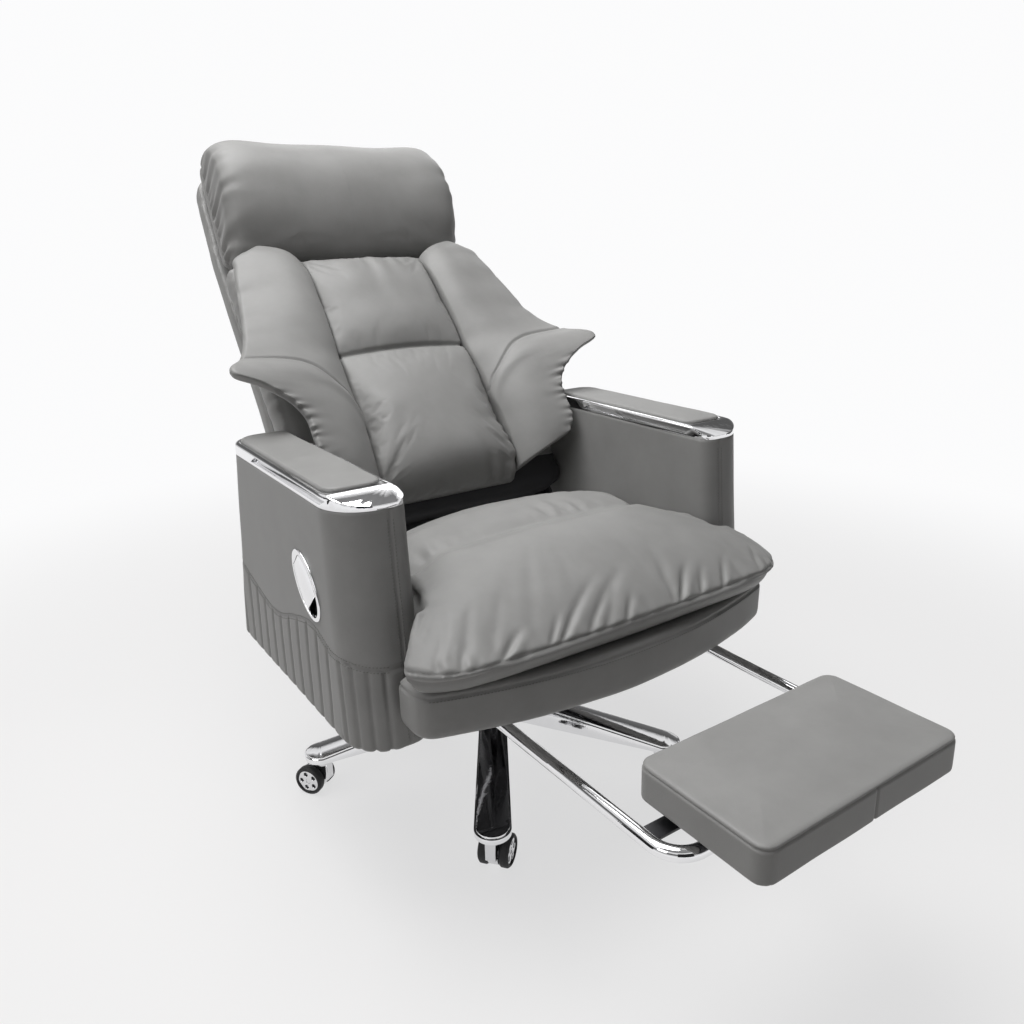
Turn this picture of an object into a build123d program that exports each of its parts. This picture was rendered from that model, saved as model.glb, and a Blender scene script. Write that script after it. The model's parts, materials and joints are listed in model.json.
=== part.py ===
from build123d import *
import os
from math import cos, radians, sin, tan

os.makedirs("parts", exist_ok=True)

# Driving dimensions in millimetres. Origin: floor level on the swivel axis. Front is -Y, +Z is up.
# Left and right are the sitter's own, so the right arm lies at -X.
SIDES = {"right": -1, "left": 1}
running_fit = 0.05
soft_gap = 0.5

# Casters
wheel_radius = 25.0
wheel_width = 15.5
wheel_edge_round = 3.0
rim_radius = 19.5
rim_recess = 2.0
spoke_count = 5
spoke_window_radius = 3.6
spoke_window_circle = 12.5
axle_radius = 4.0
fork_thickness = 16.0
fork_wheel_gap = 0.7
fork_disc_radius = 23.0
fork_neck_length = 27.0
fork_flange_radius = 13.0
fork_flange_height = 5.0
fork_height = 57.0
caster_trail = 17.0
stem_radius = 5.5
stem_depth = 26.0
# Heading of each caster about its stem, counted from its leg's direction
caster_headings = (160.0, 35.0, 120.0, 80.0, -40.0)

# Five-star base
leg_count = 5
first_leg_angle = -123.0
caster_circle = 305.0
leg_root_half_width = 21.0
leg_tip_half_width = 28.0
leg_tip_top = 76.0
leg_root_top = 128.0
leg_tip_depth = 11.0
leg_root_depth = 44.0
leg_wall = 6.0
leg_ledge = 3.0
hub_edge_round = 4.0
boss_radius = 14.0
boss_gap = 0.6
hub_radius = 35.0
hub_bottom = 72.0
hub_height = 66.0

# Gas lift
lift_radius = 25.0
lift_bottom = 62.0
lift_top = 214.0
lift_rod_radius = 14.0
lift_rod_length = 172.0
lift_bore_floor = 90.0

# Steel seat frame and tilt housing
frame_bottom = 305.0
cross_bar_height = 20.0
cross_bar_width = 30.0
cross_bar_y = 110.0
arm_gap_half = 264.0
side_plate_thickness = 6.0
side_plate_front = -235.0
side_plate_bottom = 280.0
side_plate_top = 325.0
hinge_ear_radius = 36.0
housing_plate = 4.0
housing_plate_half_x = 95.0
housing_plate_half_y = 130.0
housing_half_x = 52.0
housing_half_y = 85.0
housing_depth = 50.0
housing_wall = 3.0
housing_draft = 5.0
socket_radius = 21.0
bolt_radius = 4.0
bolt_head_radius = 6.5
bolt_head_height = 5.0

# Height lever
lever_radius = 5.0
lever_y = -45.0
lever_pivot_z = 268.0
lever_length = 180.0
lever_droop = 8.0
lever_root_gap = 0.4
lever_barrel_radius = 5.5
lever_barrel_half = 6.0
lever_trunnion_radius = 2.5
lever_ear_thickness = 3.0
lever_ear_gap = 0.3
lever_ear_margin = 7.0
knob_radius = 8.0
knob_length = 42.0

# Seat
board_thickness = 12.0
board_side_gap = 8.0
board_end_gap = 2.0
seat_base_top = 377.0
seat_base_front = -388.0
seat_base_half_width = 313.0
seat_base_corner_y = -330.0
seat_base_corner_round = 32.0
seat_rear = 118.0
seat_skirt_rear = -246.0
seat_base_side_gap = 2.0
seat_shoulder_gap = 6.0
seat_edge_round = 12.0
seat_foot_round = 16.0
cushion_front = -386.0
cushion_half_width = 327.0
cushion_seam_z = 417.0
cushion_channel_y = -157.0
cushion_rear = 50.0
cushion_crown = 474.0
cushion_front_crown = 470.0
cushion_nose_depth = 18.0
cushion_underside_depth = 46.0
cushion_lip = 12.0
cushion_lap = 6.0
cushion_lap_drop = 14.0
cushion_side_gap = 5.0
cushion_ear_y = -316.0

# Arms
arm_width = 98.0
arm_bottom = 264.0
arm_top = 588.0
arm_front_low = -266.0
arm_front_high = -240.0
arm_rear_low = 235.0
arm_rear_high = 183.0
arm_front_round = 60.0
arm_rear_round = 40.0
arm_inner_round = 20.0
arm_hem_round = 8.0
trim_height = 18.0
trim_edge_round = 5.0
trim_nose_length = 42.0
trim_nose_drop = 12.0
trim_scoop_depth = 6.0
trim_scoop_front = -188.0
trim_scoop_rear = 75.0
trim_scoop_low = 4.0
trim_scoop_high = 14.0
arm_pad_height = 10.5
arm_pad_sink = 6.0
arm_pad_inset = 8.0
arm_pad_front = -192.0
arm_pad_front_round = 24.0
arm_pad_edge_round = 4.0
channel_count = 11
channel_pitch = 36.0
channel_first_y = -172.0
channel_depth = 2.5
channel_top = 384.0
corner_channel_angles = (10.0, 31.0, 52.0, 73.0)
arm_bolt_ys = (-190.0, -20.0, 130.0)
arm_bolt_z = 300.0
arm_bolt_length = 30.0

# Recline release handle on the right arm
handle_y = -117.0
handle_z = 461.0
handle_tilt = 45.0
handle_half_length = 54.0
handle_half_width = 33.0
handle_rim = 6.0
handle_rim_proud = 2.5
handle_rim_round = 1.5
handle_pocket_depth = 20.0
handle_wall = 2.0
handle_fit = 0.3
flap_gap = 0.6
flap_thickness = 4.0
finger_recess = 28.0
flap_pin_radius = 1.2
flap_pin_inset = 3.0
handle_cavity_end = 41.0
flap_pin_half_length = 18.5

# Back. The hinge axis is the origin of the back's own plane: s runs up the back, n out of its front.
hinge_y = 178.0
hinge_z = 352.0
recline = 38.0
hinge_pin_radius = 8.0
hinge_pin_head_radius = 13.0
recliner_disc_radius = 30.0
recliner_disc_thickness = 11.0
recliner_disc_round = 2.0
bracket_thickness = 6.0
bracket_running_gap = 0.3
bracket_length = 185.0
bracket_width = 34.0
bracket_knee_s = 60.0
shell_rear_n = -19.0
shell_thickness = 43.0
shell_bracket_gap = 6.7
shell_arm_gap = 8.0
shell_upper_inset = 16.0
shell_top_inset = 28.0
shell_foot_s = 18.0
shell_flare_foot_s = 60.0
shell_flare_end_s = 92.0
shell_waist_s = 325.0
shell_taper_s = 636.0
shell_top_s = 836.0
shell_corner_round = 42.0
shell_edge_round = 16.0
back_board_thickness = 15.0
back_board_inset = 42.0
back_board_foot_s = 12.0
back_board_shoulder_s = 215.0
back_board_top_s = 800.0
back_pad_thickness = 62.0
back_pad_inset = 36.0
back_pad_ledge = 23.0
back_pad_ledge_inset = 14.0
back_pad_foot_s = 34.0
back_pad_top_s = 576.0
back_pad_round = 16.0
panel_foot_s = 36.0
panel_channel_s = 338.0
panel_top_s = 566.0
panel_foot_half_width = 138.0
panel_top_half_width = 121.0
head_foot_s = 604.0
head_top_s = 830.0
head_inset = 26.0
head_depth = 132.0
head_top_bulge = 8.0
head_front_round = 22.0
head_lip_height = 16.0
head_lip_depth = 58.0
head_face_crest = 0.58
head_foot_sag = 6.0

wing_edge_height = 16.0
wing_edge_lean = 4.0
wing_crown = 10.0

# Footrest
tube_radius = 9.0
tube_half_spread = 188.0
tube_z = 289.0
tube_bend = 38.0
footrest_bar_y = -650.0
tube_rear_y = -175.0
guide_radius = 13.0
guide_front = -288.0
guide_rear = 170.0
strap_y = -600.0
strap_width = 24.0
strap_thickness = 4.0
clip_radius = 13.0
clip_width = 26.0
clip_half_spread = 95.0
pad_half_width = 168.0
pad_front = -745.0
pad_rear = -562.0
pad_corner_round = 18.0
pad_thickness = 46.0
pad_edge_round = 5.0
pad_board_thickness = 8.0
pad_board_inset = 14.0

# Places that follow from the sizes above
arm_outer = arm_gap_half + arm_width
frame_top = frame_bottom + cross_bar_height
board_top = frame_top + board_thickness
plate_inner = arm_gap_half - side_plate_thickness
bracket_outer = plate_inner - recliner_disc_thickness - bracket_running_gap
bracket_inner = bracket_outer - bracket_thickness
shell_low_half_width = bracket_inner - shell_bracket_gap
bracket_rear_n = shell_rear_n + shell_thickness + bracket_running_gap
shell_flare_half_width = arm_gap_half - shell_arm_gap
shell_half_width = arm_gap_half - shell_upper_inset
shell_top_half_width = arm_gap_half - shell_top_inset
back_board_half_width = arm_gap_half - back_board_inset
back_pad_half_width = arm_gap_half - back_pad_inset
back_pad_wide_half = arm_gap_half - back_pad_ledge_inset
head_half_width = arm_gap_half - head_inset
board_front_n = shell_rear_n + shell_thickness + back_board_thickness
pad_front_n = board_front_n + back_pad_thickness
up_back = Vector(0, sin(radians(recline)), cos(radians(recline)))
off_back = Vector(0, -cos(radians(recline)), sin(radians(recline)))
hinge = Vector(0, hinge_y, hinge_z)
BACK = Plane(origin=hinge, x_dir=(1, 0, 0), z_dir=off_back)
wheel_inner = fork_thickness / 2 + fork_wheel_gap


def save(part, name):
    """Label a finished piece and write it under its node's name."""
    part.label = name
    export_step(part, f"parts/{name}.step")


def back_section(s):
    """Plane across the back at height s: local x is the chair's X, local y is -n."""
    return Plane(origin=hinge + up_back * s, x_dir=(1, 0, 0), z_dir=up_back)


def back_side(x):
    """Plane along the back at a given X: local x is s, local y is n."""
    return Plane(origin=hinge + Vector(x, 0, 0), x_dir=up_back, z_dir=(1, 0, 0))


def crowned_section(plane, half_width, base, side, crown):
    """A cushion's cross-section: flat base, straight sides and a crowned top."""
    with BuildSketch(plane) as section:
        with BuildLine():
            Line((-half_width, base), (half_width, base))
            Line((half_width, base), (half_width, side))
            ThreePointArc((half_width, side), (0, crown), (-half_width, side))
            Line((-half_width, side), (-half_width, base))
        make_face()
    return section.sketch


def corner(sketch, x, y):
    """The sketch's corner nearest a point."""
    return sketch.vertices().sort_by_distance((x, y, 0))[0]


def upright_edges(builder, x):
    """Edges that rise along the face at a given X, from front to rear."""
    rising = builder.edges().filter_by(lambda e: abs(e.tangent_at(0.5).Z) > 0.9)
    return rising.filter_by(lambda e: abs(e.center().X - x) < 0.01).sort_by(Axis.Y)


# One leg of the base along +X: a tapered, sloping bar, hollow below, with a caster boss at its tip
def leg_bar(inset, drop):
    """Tapered bar with a round end, drawn in by inset and lowered on top by drop."""
    root = leg_root_half_width - inset
    tip = leg_tip_half_width - inset
    with BuildPart() as bar:
        with BuildSketch(Plane.XZ):
            with BuildLine():
                Polyline(
                    (0, leg_root_top - leg_root_depth),
                    (0, leg_root_top - drop),
                    (hub_radius, leg_root_top - drop),
                    (caster_circle, leg_tip_top - drop),
                    (caster_circle + tip, leg_tip_top - drop),
                    (caster_circle + tip, leg_tip_top - leg_tip_depth),
                    (caster_circle, leg_tip_top - leg_tip_depth),
                    (hub_radius, leg_root_top - leg_root_depth),
                    close=True,
                )
            make_face()
        extrude(amount=leg_tip_half_width, both=True)
        with BuildSketch(Plane.XY):
            with BuildLine():
                Line((0, -root), (caster_circle, -tip))
                ThreePointArc((caster_circle, -tip), (caster_circle + tip, 0), (caster_circle, tip))
                Line((caster_circle, tip), (0, root))
                Line((0, root), (0, -root))
            make_face()
        extrude(amount=leg_root_top, mode=Mode.INTERSECT)
    return bar.part


with BuildPart() as leg:
    add(leg_bar(0, leg_ledge))
    add(leg_bar(leg_ledge, 0))
    with BuildSketch(Plane.XZ):
        with BuildLine():
            Polyline(
                (hub_radius + leg_wall, leg_root_top - leg_root_depth - leg_wall),
                (hub_radius + leg_wall, leg_root_top - 2 * leg_wall),
                (caster_circle - boss_radius - leg_wall, leg_tip_top - leg_wall),
                (caster_circle - boss_radius - leg_wall, leg_tip_top - leg_tip_depth - leg_wall),
                close=True,
            )
        make_face()
    extrude(amount=leg_root_half_width - leg_wall, both=True, mode=Mode.SUBTRACT)
    with BuildSketch(Plane.XY.offset(fork_height + boss_gap)):
        with Locations((caster_circle, 0)):
            Circle(boss_radius)
    extrude(amount=leg_tip_top - leg_wall - fork_height - boss_gap)
    with BuildSketch(Plane.XY.offset(fork_height + boss_gap)):
        with Locations((caster_circle, 0)):
            Circle(stem_radius)
    extrude(amount=leg_tip_top - leg_wall - fork_height - boss_gap, mode=Mode.SUBTRACT)

with BuildPart() as star_base:
    with Locations((0, 0, hub_bottom)):
        Cylinder(hub_radius, hub_height, align=(Align.CENTER, Align.CENTER, Align.MIN))
    fillet(star_base.edges().group_by(Axis.Z)[-1], hub_edge_round)
    with PolarLocations(0, leg_count, start_angle=first_leg_angle):
        add(leg.part)
    with Locations((0, 0, hub_bottom)):
        Cylinder(
            lift_radius,
            hub_height,
            align=(Align.CENTER, Align.CENTER, Align.MIN),
            mode=Mode.SUBTRACT,
        )
save(star_base.part, "star_base")

# Caster stems, pressed into the leg bosses
stem_top = leg_tip_top - leg_wall
with BuildPart() as caster_stems:
    with BuildSketch(Plane.XY.offset(fork_height - stem_depth)):
        with PolarLocations(caster_circle, leg_count, start_angle=first_leg_angle):
            Circle(stem_radius)
    extrude(amount=stem_top - fork_height + stem_depth)
save(caster_stems.part, "caster_stems")

# Caster fork: a disc between the wheels that rises into a neck and flange round the stem.
# The swivel axis is the local origin and the axle lies behind it along +X.
with BuildPart() as fork:
    with BuildSketch(Plane.XZ):
        with Locations((caster_trail, wheel_radius)):
            Circle(fork_disc_radius)
        with Locations((0, (fork_height + wheel_radius) / 2)):
            Rectangle(fork_neck_length, fork_height - wheel_radius)
    extrude(amount=fork_thickness / 2, both=True)
    with BuildSketch(Plane.XY.offset(fork_height - fork_flange_height)):
        Circle(fork_flange_radius)
    extrude(amount=fork_flange_height)
    with BuildSketch(Plane.XY.offset(fork_height)):
        Circle(stem_radius + running_fit)
    extrude(amount=-stem_depth - boss_gap, mode=Mode.SUBTRACT)
    with BuildSketch(Plane.XZ):
        with Locations((caster_trail, wheel_radius)):
            Circle(axle_radius)
    extrude(amount=fork_thickness, both=True, mode=Mode.SUBTRACT)

# Caster wheel on the +Y side: a soft tyre on a spoked rim that turns on the axle
with BuildPart() as wheel:
    with BuildSketch(Plane.YZ.offset(caster_trail)):
        with BuildLine():
            Polyline(
                (wheel_inner, wheel_radius + rim_radius),
                (wheel_inner + wheel_width, wheel_radius + rim_radius),
                (wheel_inner + wheel_width, 2 * wheel_radius - wheel_edge_round),
                (wheel_inner + wheel_width - wheel_edge_round, 2 * wheel_radius),
                (wheel_inner + wheel_edge_round, 2 * wheel_radius),
                (wheel_inner, 2 * wheel_radius - wheel_edge_round),
                close=True,
            )
        make_face()
    revolve(axis=Axis((caster_trail, 0, wheel_radius), (0, 1, 0)))
with BuildPart() as rim:
    with BuildSketch(Plane.XZ.offset(-wheel_inner)):
        with Locations((caster_trail, wheel_radius)):
            Circle(rim_radius)
            Circle(axle_radius + running_fit, mode=Mode.SUBTRACT)
            with PolarLocations(spoke_window_circle, spoke_count):
                Circle(spoke_window_radius, mode=Mode.SUBTRACT)
    extrude(amount=-(wheel_width - rim_recess))

with BuildPart() as axle:
    with BuildSketch(Plane.XZ):
        with Locations((caster_trail, wheel_radius)):
            Circle(axle_radius)
    extrude(amount=wheel_inner + wheel_width - rim_recess - fork_wheel_gap, both=True)

# Five casters, each with two wheels that turn on their own
for index, heading in enumerate(caster_headings):
    angle = first_leg_angle + index * 360 / leg_count
    stem_x = caster_circle * cos(radians(angle))
    stem_y = caster_circle * sin(radians(angle))
    spot = Location((stem_x, stem_y, 0), (0, 0, angle + heading))
    with BuildPart() as placed_fork:
        with Locations(spot):
            add(fork.part)
    fork_node = Compound(children=[placed_fork.part, spot * axle.part])
    save(fork_node, f"caster_{index + 1}_fork")
    for wheel_side, turn in (("inner", 0), ("outer", 1)):
        tyre_solid = wheel.part if turn == 0 else mirror(wheel.part, about=Plane.XZ)
        rim_solid = rim.part if turn == 0 else mirror(rim.part, about=Plane.XZ)
        wheel_node = Compound(children=[spot * tyre_solid, spot * rim_solid])
        save(wheel_node, f"caster_{index + 1}_wheel_{wheel_side}")

# Gas lift: outer cylinder seated in the hub, and the rod that slides and turns in it
with BuildPart() as gas_cylinder:
    with BuildSketch(Plane.XY.offset(lift_bottom)):
        Circle(lift_radius)
    extrude(amount=lift_top - lift_bottom)
    chamfer(gas_cylinder.edges().group_by(Axis.Z)[-1], hub_edge_round)
    with BuildSketch(Plane.XY.offset(lift_bore_floor)):
        Circle(lift_rod_radius + running_fit)
    extrude(amount=lift_top - lift_bore_floor, mode=Mode.SUBTRACT)
save(gas_cylinder.part, "gas_cylinder")

rod_top = frame_bottom - housing_plate - boss_gap
with BuildPart() as gas_rod:
    with BuildSketch(Plane.XY.offset(rod_top)):
        Circle(lift_rod_radius)
    extrude(amount=-lift_rod_length)
save(gas_rod.part, "gas_rod")

# Swivel housing under the seat: a top plate, a pressed box open below and the socket for the rod
mechanism_bolt_y = cross_bar_y
housing_wall_x = housing_half_x - (frame_bottom - housing_plate - lever_pivot_z) * tan(radians(housing_draft))
lever_pivot_x = -(housing_wall_x + lever_root_gap + lever_barrel_radius)
lever_ear_y = lever_barrel_half + lever_ear_gap
mechanism_bolt_x = housing_plate_half_x - 3 * bolt_radius
with BuildPart() as seat_mechanism:
    with BuildSketch(Plane.XY.offset(frame_bottom)):
        RectangleRounded(2 * housing_plate_half_x, 2 * housing_plate_half_y, 3 * bolt_radius)
    extrude(amount=-housing_plate)
    with BuildSketch(Plane.XY.offset(frame_bottom - housing_plate)):
        Rectangle(2 * housing_half_x, 2 * housing_half_y)
    extrude(amount=-housing_depth, taper=housing_draft)
    with BuildSketch(Plane.XY.offset(frame_bottom - housing_plate)):
        Rectangle(2 * (housing_half_x - housing_wall), 2 * (housing_half_y - housing_wall))
    extrude(amount=-housing_depth, taper=housing_draft, mode=Mode.SUBTRACT)
    with BuildSketch(Plane.XY.offset(frame_bottom - housing_plate)):
        Circle(socket_radius)
    extrude(amount=-housing_depth)
    with BuildSketch(Plane.XY.offset(frame_bottom - housing_plate)):
        Circle(lift_rod_radius + running_fit)
    extrude(amount=-housing_depth, mode=Mode.SUBTRACT)
    with BuildSketch(Plane.XY.offset(frame_bottom)):
        with GridLocations(2 * mechanism_bolt_x, 2 * mechanism_bolt_y, 2, 2):
            Circle(bolt_radius + running_fit)
    extrude(amount=-housing_plate, mode=Mode.SUBTRACT)
    for way in (-1, 1):
        with BuildSketch(Plane.XZ.offset(-(lever_y + way * lever_ear_y))):
            with BuildLine():
                Polyline(
                    (lever_pivot_x - lever_ear_margin, lever_pivot_z - lever_ear_margin),
                    (housing_wall - housing_wall_x, lever_pivot_z - lever_ear_margin),
                    (housing_wall - housing_wall_x, frame_bottom - housing_plate),
                    (lever_pivot_x - lever_ear_margin, frame_bottom - housing_plate),
                    close=True,
                )
            make_face()
            with Locations((lever_pivot_x, lever_pivot_z)):
                Circle(lever_trunnion_radius + running_fit, mode=Mode.SUBTRACT)
        extrude(amount=-way * lever_ear_thickness)
save(seat_mechanism.part, "seat_mechanism")

# Bolts that clamp the housing to the cross bars
with BuildPart() as mechanism_bolts:
    with BuildSketch(Plane.XY.offset(frame_bottom - housing_plate)):
        with GridLocations(2 * mechanism_bolt_x, 2 * mechanism_bolt_y, 2, 2):
            RegularPolygon(bolt_head_radius, 6)
    extrude(amount=-bolt_head_height)
    with BuildSketch(Plane.XY.offset(frame_bottom - housing_plate)):
        with GridLocations(2 * mechanism_bolt_x, 2 * mechanism_bolt_y, 2, 2):
            Circle(bolt_radius)
    extrude(amount=housing_plate + cross_bar_height)
save(mechanism_bolts.part, "mechanism_bolts")

# Height lever: a rod on trunnions at the right side of the housing that droops under the seat
lever_direction = Vector(-cos(radians(lever_droop)), 0, -sin(radians(lever_droop)))
lever_start = Vector(lever_pivot_x, lever_y, lever_pivot_z)
with BuildPart() as height_lever:
    with BuildSketch(Plane(origin=lever_start, z_dir=lever_direction)):
        Circle(lever_radius)
    extrude(amount=lever_length)
    for radius, half_length in (
        (lever_barrel_radius, lever_barrel_half),
        (lever_trunnion_radius, lever_ear_y + lever_ear_thickness),
    ):
        with BuildSketch(Plane.XZ.offset(-lever_y)):
            with Locations((lever_pivot_x, lever_pivot_z)):
                Circle(radius)
        extrude(amount=half_length, both=True)
save(height_lever.part, "height_lever")

knob_start = lever_start + lever_direction * (lever_length + running_fit)
with BuildPart() as lever_knob:
    with BuildSketch(Plane(origin=knob_start, z_dir=lever_direction)):
        Circle(knob_radius)
    extrude(amount=knob_length / 2, both=True)
    fillet(lever_knob.edges(), lever_radius / 2)
    with BuildSketch(Plane(origin=knob_start, z_dir=lever_direction)):
        Circle(lever_radius + running_fit)
    extrude(amount=-knob_length, mode=Mode.SUBTRACT)
save(lever_knob.part, "lever_knob")

# Steel cross bars between the side plates
with BuildPart() as seat_cross_bars:
    with BuildSketch(Plane.XY.offset(frame_bottom)):
        with GridLocations(1, 2 * cross_bar_y, 1, 2):
            Rectangle(2 * plate_inner, cross_bar_width)
        with GridLocations(2 * mechanism_bolt_x, 2 * mechanism_bolt_y, 2, 2):
            Circle(bolt_radius + running_fit, mode=Mode.SUBTRACT)
    extrude(amount=cross_bar_height)
save(seat_cross_bars.part, "seat_cross_bars")

# Side plates bolted to the arms, each with an ear that carries the back's hinge
for side_name, side in SIDES.items():
    with BuildPart() as side_plate:
        with BuildSketch(Plane.YZ.offset(side * plate_inner)):
            with BuildLine():
                Polyline(
                    (side_plate_front, side_plate_bottom),
                    (hinge_y, side_plate_bottom),
                    (hinge_y + hinge_ear_radius, hinge_z),
                    (hinge_y - hinge_ear_radius, hinge_z),
                    (hinge_y - 2 * hinge_ear_radius, side_plate_top),
                    (side_plate_front, side_plate_top),
                    close=True,
                )
            make_face()
            with Locations((hinge_y, hinge_z)):
                Circle(hinge_ear_radius)
                Circle(hinge_pin_radius + running_fit, mode=Mode.SUBTRACT)
            with Locations([(y, arm_bolt_z) for y in arm_bolt_ys]):
                Circle(bolt_radius + running_fit, mode=Mode.SUBTRACT)
        extrude(amount=side * side_plate_thickness)
    save(side_plate.part, f"seat_side_plate_{side_name}")

# Bolts through the side plates into the arms
with BuildPart() as arm_bolts:
    for side in SIDES.values():
        with BuildSketch(Plane.YZ.offset(side * plate_inner)):
            with Locations([(y, arm_bolt_z) for y in arm_bolt_ys]):
                RegularPolygon(bolt_head_radius, 6)
        extrude(amount=-side * bolt_head_height)
        with BuildSketch(Plane.YZ.offset(side * plate_inner)):
            with Locations([(y, arm_bolt_z) for y in arm_bolt_ys]):
                Circle(bolt_radius)
        extrude(amount=side * (side_plate_thickness + arm_bolt_length))
save(arm_bolts.part, "arm_bolts")

# Seat board on the cross bars
with BuildPart() as seat_board:
    with BuildSketch(Plane.XY.offset(frame_top)):
        with Locations((0, (seat_skirt_rear + seat_rear) / 2)):
            Rectangle(2 * (plate_inner - board_side_gap), seat_rear - seat_skirt_rear - 2 * board_end_gap)
    extrude(amount=board_thickness)
save(seat_board.part, "seat_board")

# Upholstered seat base: a T in plan with a bowed front that hangs in front of the arms
seat_base_inner = plate_inner - seat_base_side_gap
seat_shoulder_y = arm_front_low - seat_shoulder_gap
with BuildPart() as seat_base:
    with BuildSketch(Plane.XY.offset(frame_bottom)) as base_plan:
        with BuildLine():
            Polyline(
                (-seat_base_half_width, seat_base_corner_y),
                (-seat_base_half_width, seat_shoulder_y),
                (-seat_base_inner, seat_shoulder_y),
                (-seat_base_inner, seat_rear),
                (seat_base_inner, seat_rear),
                (seat_base_inner, seat_shoulder_y),
                (seat_base_half_width, seat_shoulder_y),
                (seat_base_half_width, seat_base_corner_y),
            )
            ThreePointArc(
                (seat_base_half_width, seat_base_corner_y),
                (0, seat_base_front),
                (-seat_base_half_width, seat_base_corner_y),
            )
        make_face()
        for side in SIDES.values():
            fillet(corner(base_plan, side * seat_base_half_width, seat_base_corner_y), seat_base_corner_round)
            fillet(corner(base_plan, side * seat_base_half_width, seat_shoulder_y), arm_hem_round)
    extrude(amount=seat_base_top - frame_bottom)
    for rim, rounding in ((0, seat_foot_round), (-1, seat_edge_round)):
        skirt_edges = seat_base.edges().filter_by(lambda e: e.center().Y < seat_shoulder_y - 1)
        fillet(skirt_edges.group_by(Axis.Z)[rim], rounding)
    with BuildSketch(Plane.XY.offset(frame_bottom)):
        with Locations((0, seat_skirt_rear)):
            Rectangle(
                4 * seat_base_half_width,
                seat_rear - seat_skirt_rear + cross_bar_width,
                align=(Align.CENTER, Align.MIN),
            )
    extrude(amount=board_top - frame_bottom, mode=Mode.SUBTRACT)
save(seat_base.part, "seat_base")


cushion_floor = seat_base_top + soft_gap
cushion_inner = arm_gap_half - cushion_side_gap


def cushion_front_section(x, front, crown):
    """Section along the chair through the cushion's front roll, with its nose at the front seam."""
    lap_y = cushion_channel_y + cushion_lap
    lip_z = cushion_seam_z - cushion_lip
    with BuildSketch(Plane.YZ.offset(x)) as section:
        with BuildLine():
            Line((lap_y, cushion_floor), (front + cushion_underside_depth, cushion_floor))
            ThreePointArc(
                (front + cushion_underside_depth, cushion_floor),
                (front + cushion_lip, lip_z),
                (front, cushion_seam_z),
            )
            ThreePointArc(
                (front, cushion_seam_z),
                ((front + cushion_channel_y) / 2 - cushion_nose_depth, crown),
                (lap_y, crown - cushion_lap_drop),
            )
            Line((lap_y, crown - cushion_lap_drop), (lap_y, cushion_floor))
        make_face()
    return section.sketch


# Seat cushion: a front roll with drawn-in ears, sewn to a crowned rear part along a cross channel.
# Each row of the roll: share of the half-width, how far its seam draws back, how far its crown drops.
roll_rows = ((0, 0, 0), (0.55, 5, 4), (0.92, 26, 22), (1.0, 58, 42))
with BuildPart() as seat_cushion:
    loft(
        sections=[
            cushion_front_section(
                side * share * cushion_half_width,
                cushion_front + draw,
                cushion_front_crown - drop,
            )
            for side, rows in ((-1, roll_rows[:0:-1]), (1, roll_rows))
            for share, draw, drop in rows
        ]
    )
    for side in SIDES.values():
        with BuildSketch(Plane.XY.offset(cushion_floor)):
            with BuildLine():
                Polyline(
                    (side * cushion_inner, 0),
                    (side * cushion_inner, seat_shoulder_y),
                    (side * (cushion_inner + arm_inner_round), seat_shoulder_y),
                    (side * cushion_half_width, cushion_ear_y),
                    (side * arm_outer, cushion_ear_y),
                    (side * arm_outer, 0),
                    close=True,
                )
            make_face()
        extrude(amount=cushion_crown, mode=Mode.SUBTRACT)
    rear_span = cushion_rear - cushion_channel_y
    loft(
        sections=[
            crowned_section(Plane.XZ.offset(-y), cushion_inner, cushion_floor, crown - rise, crown)
            for y, crown, rise in (
                (cushion_channel_y, cushion_crown - 16, 22),
                (cushion_channel_y + 0.25 * rear_span, cushion_crown - 2, 28),
                (cushion_channel_y + 0.6 * rear_span, cushion_crown, 30),
                (cushion_channel_y + 0.88 * rear_span, cushion_crown - 14, 26),
                (cushion_rear, cushion_crown - 52, 18),
            )
        ]
    )
save(seat_cushion.part, "seat_cushion")


def handle_plane(depth):
    """Plane on the right arm's outer face: local x runs up the handle, z out of the arm."""
    along = Vector(0, cos(radians(handle_tilt)), sin(radians(handle_tilt)))
    return Plane(origin=(-arm_outer - depth, handle_y, handle_z), x_dir=along, z_dir=(-1, 0, 0))


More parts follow.
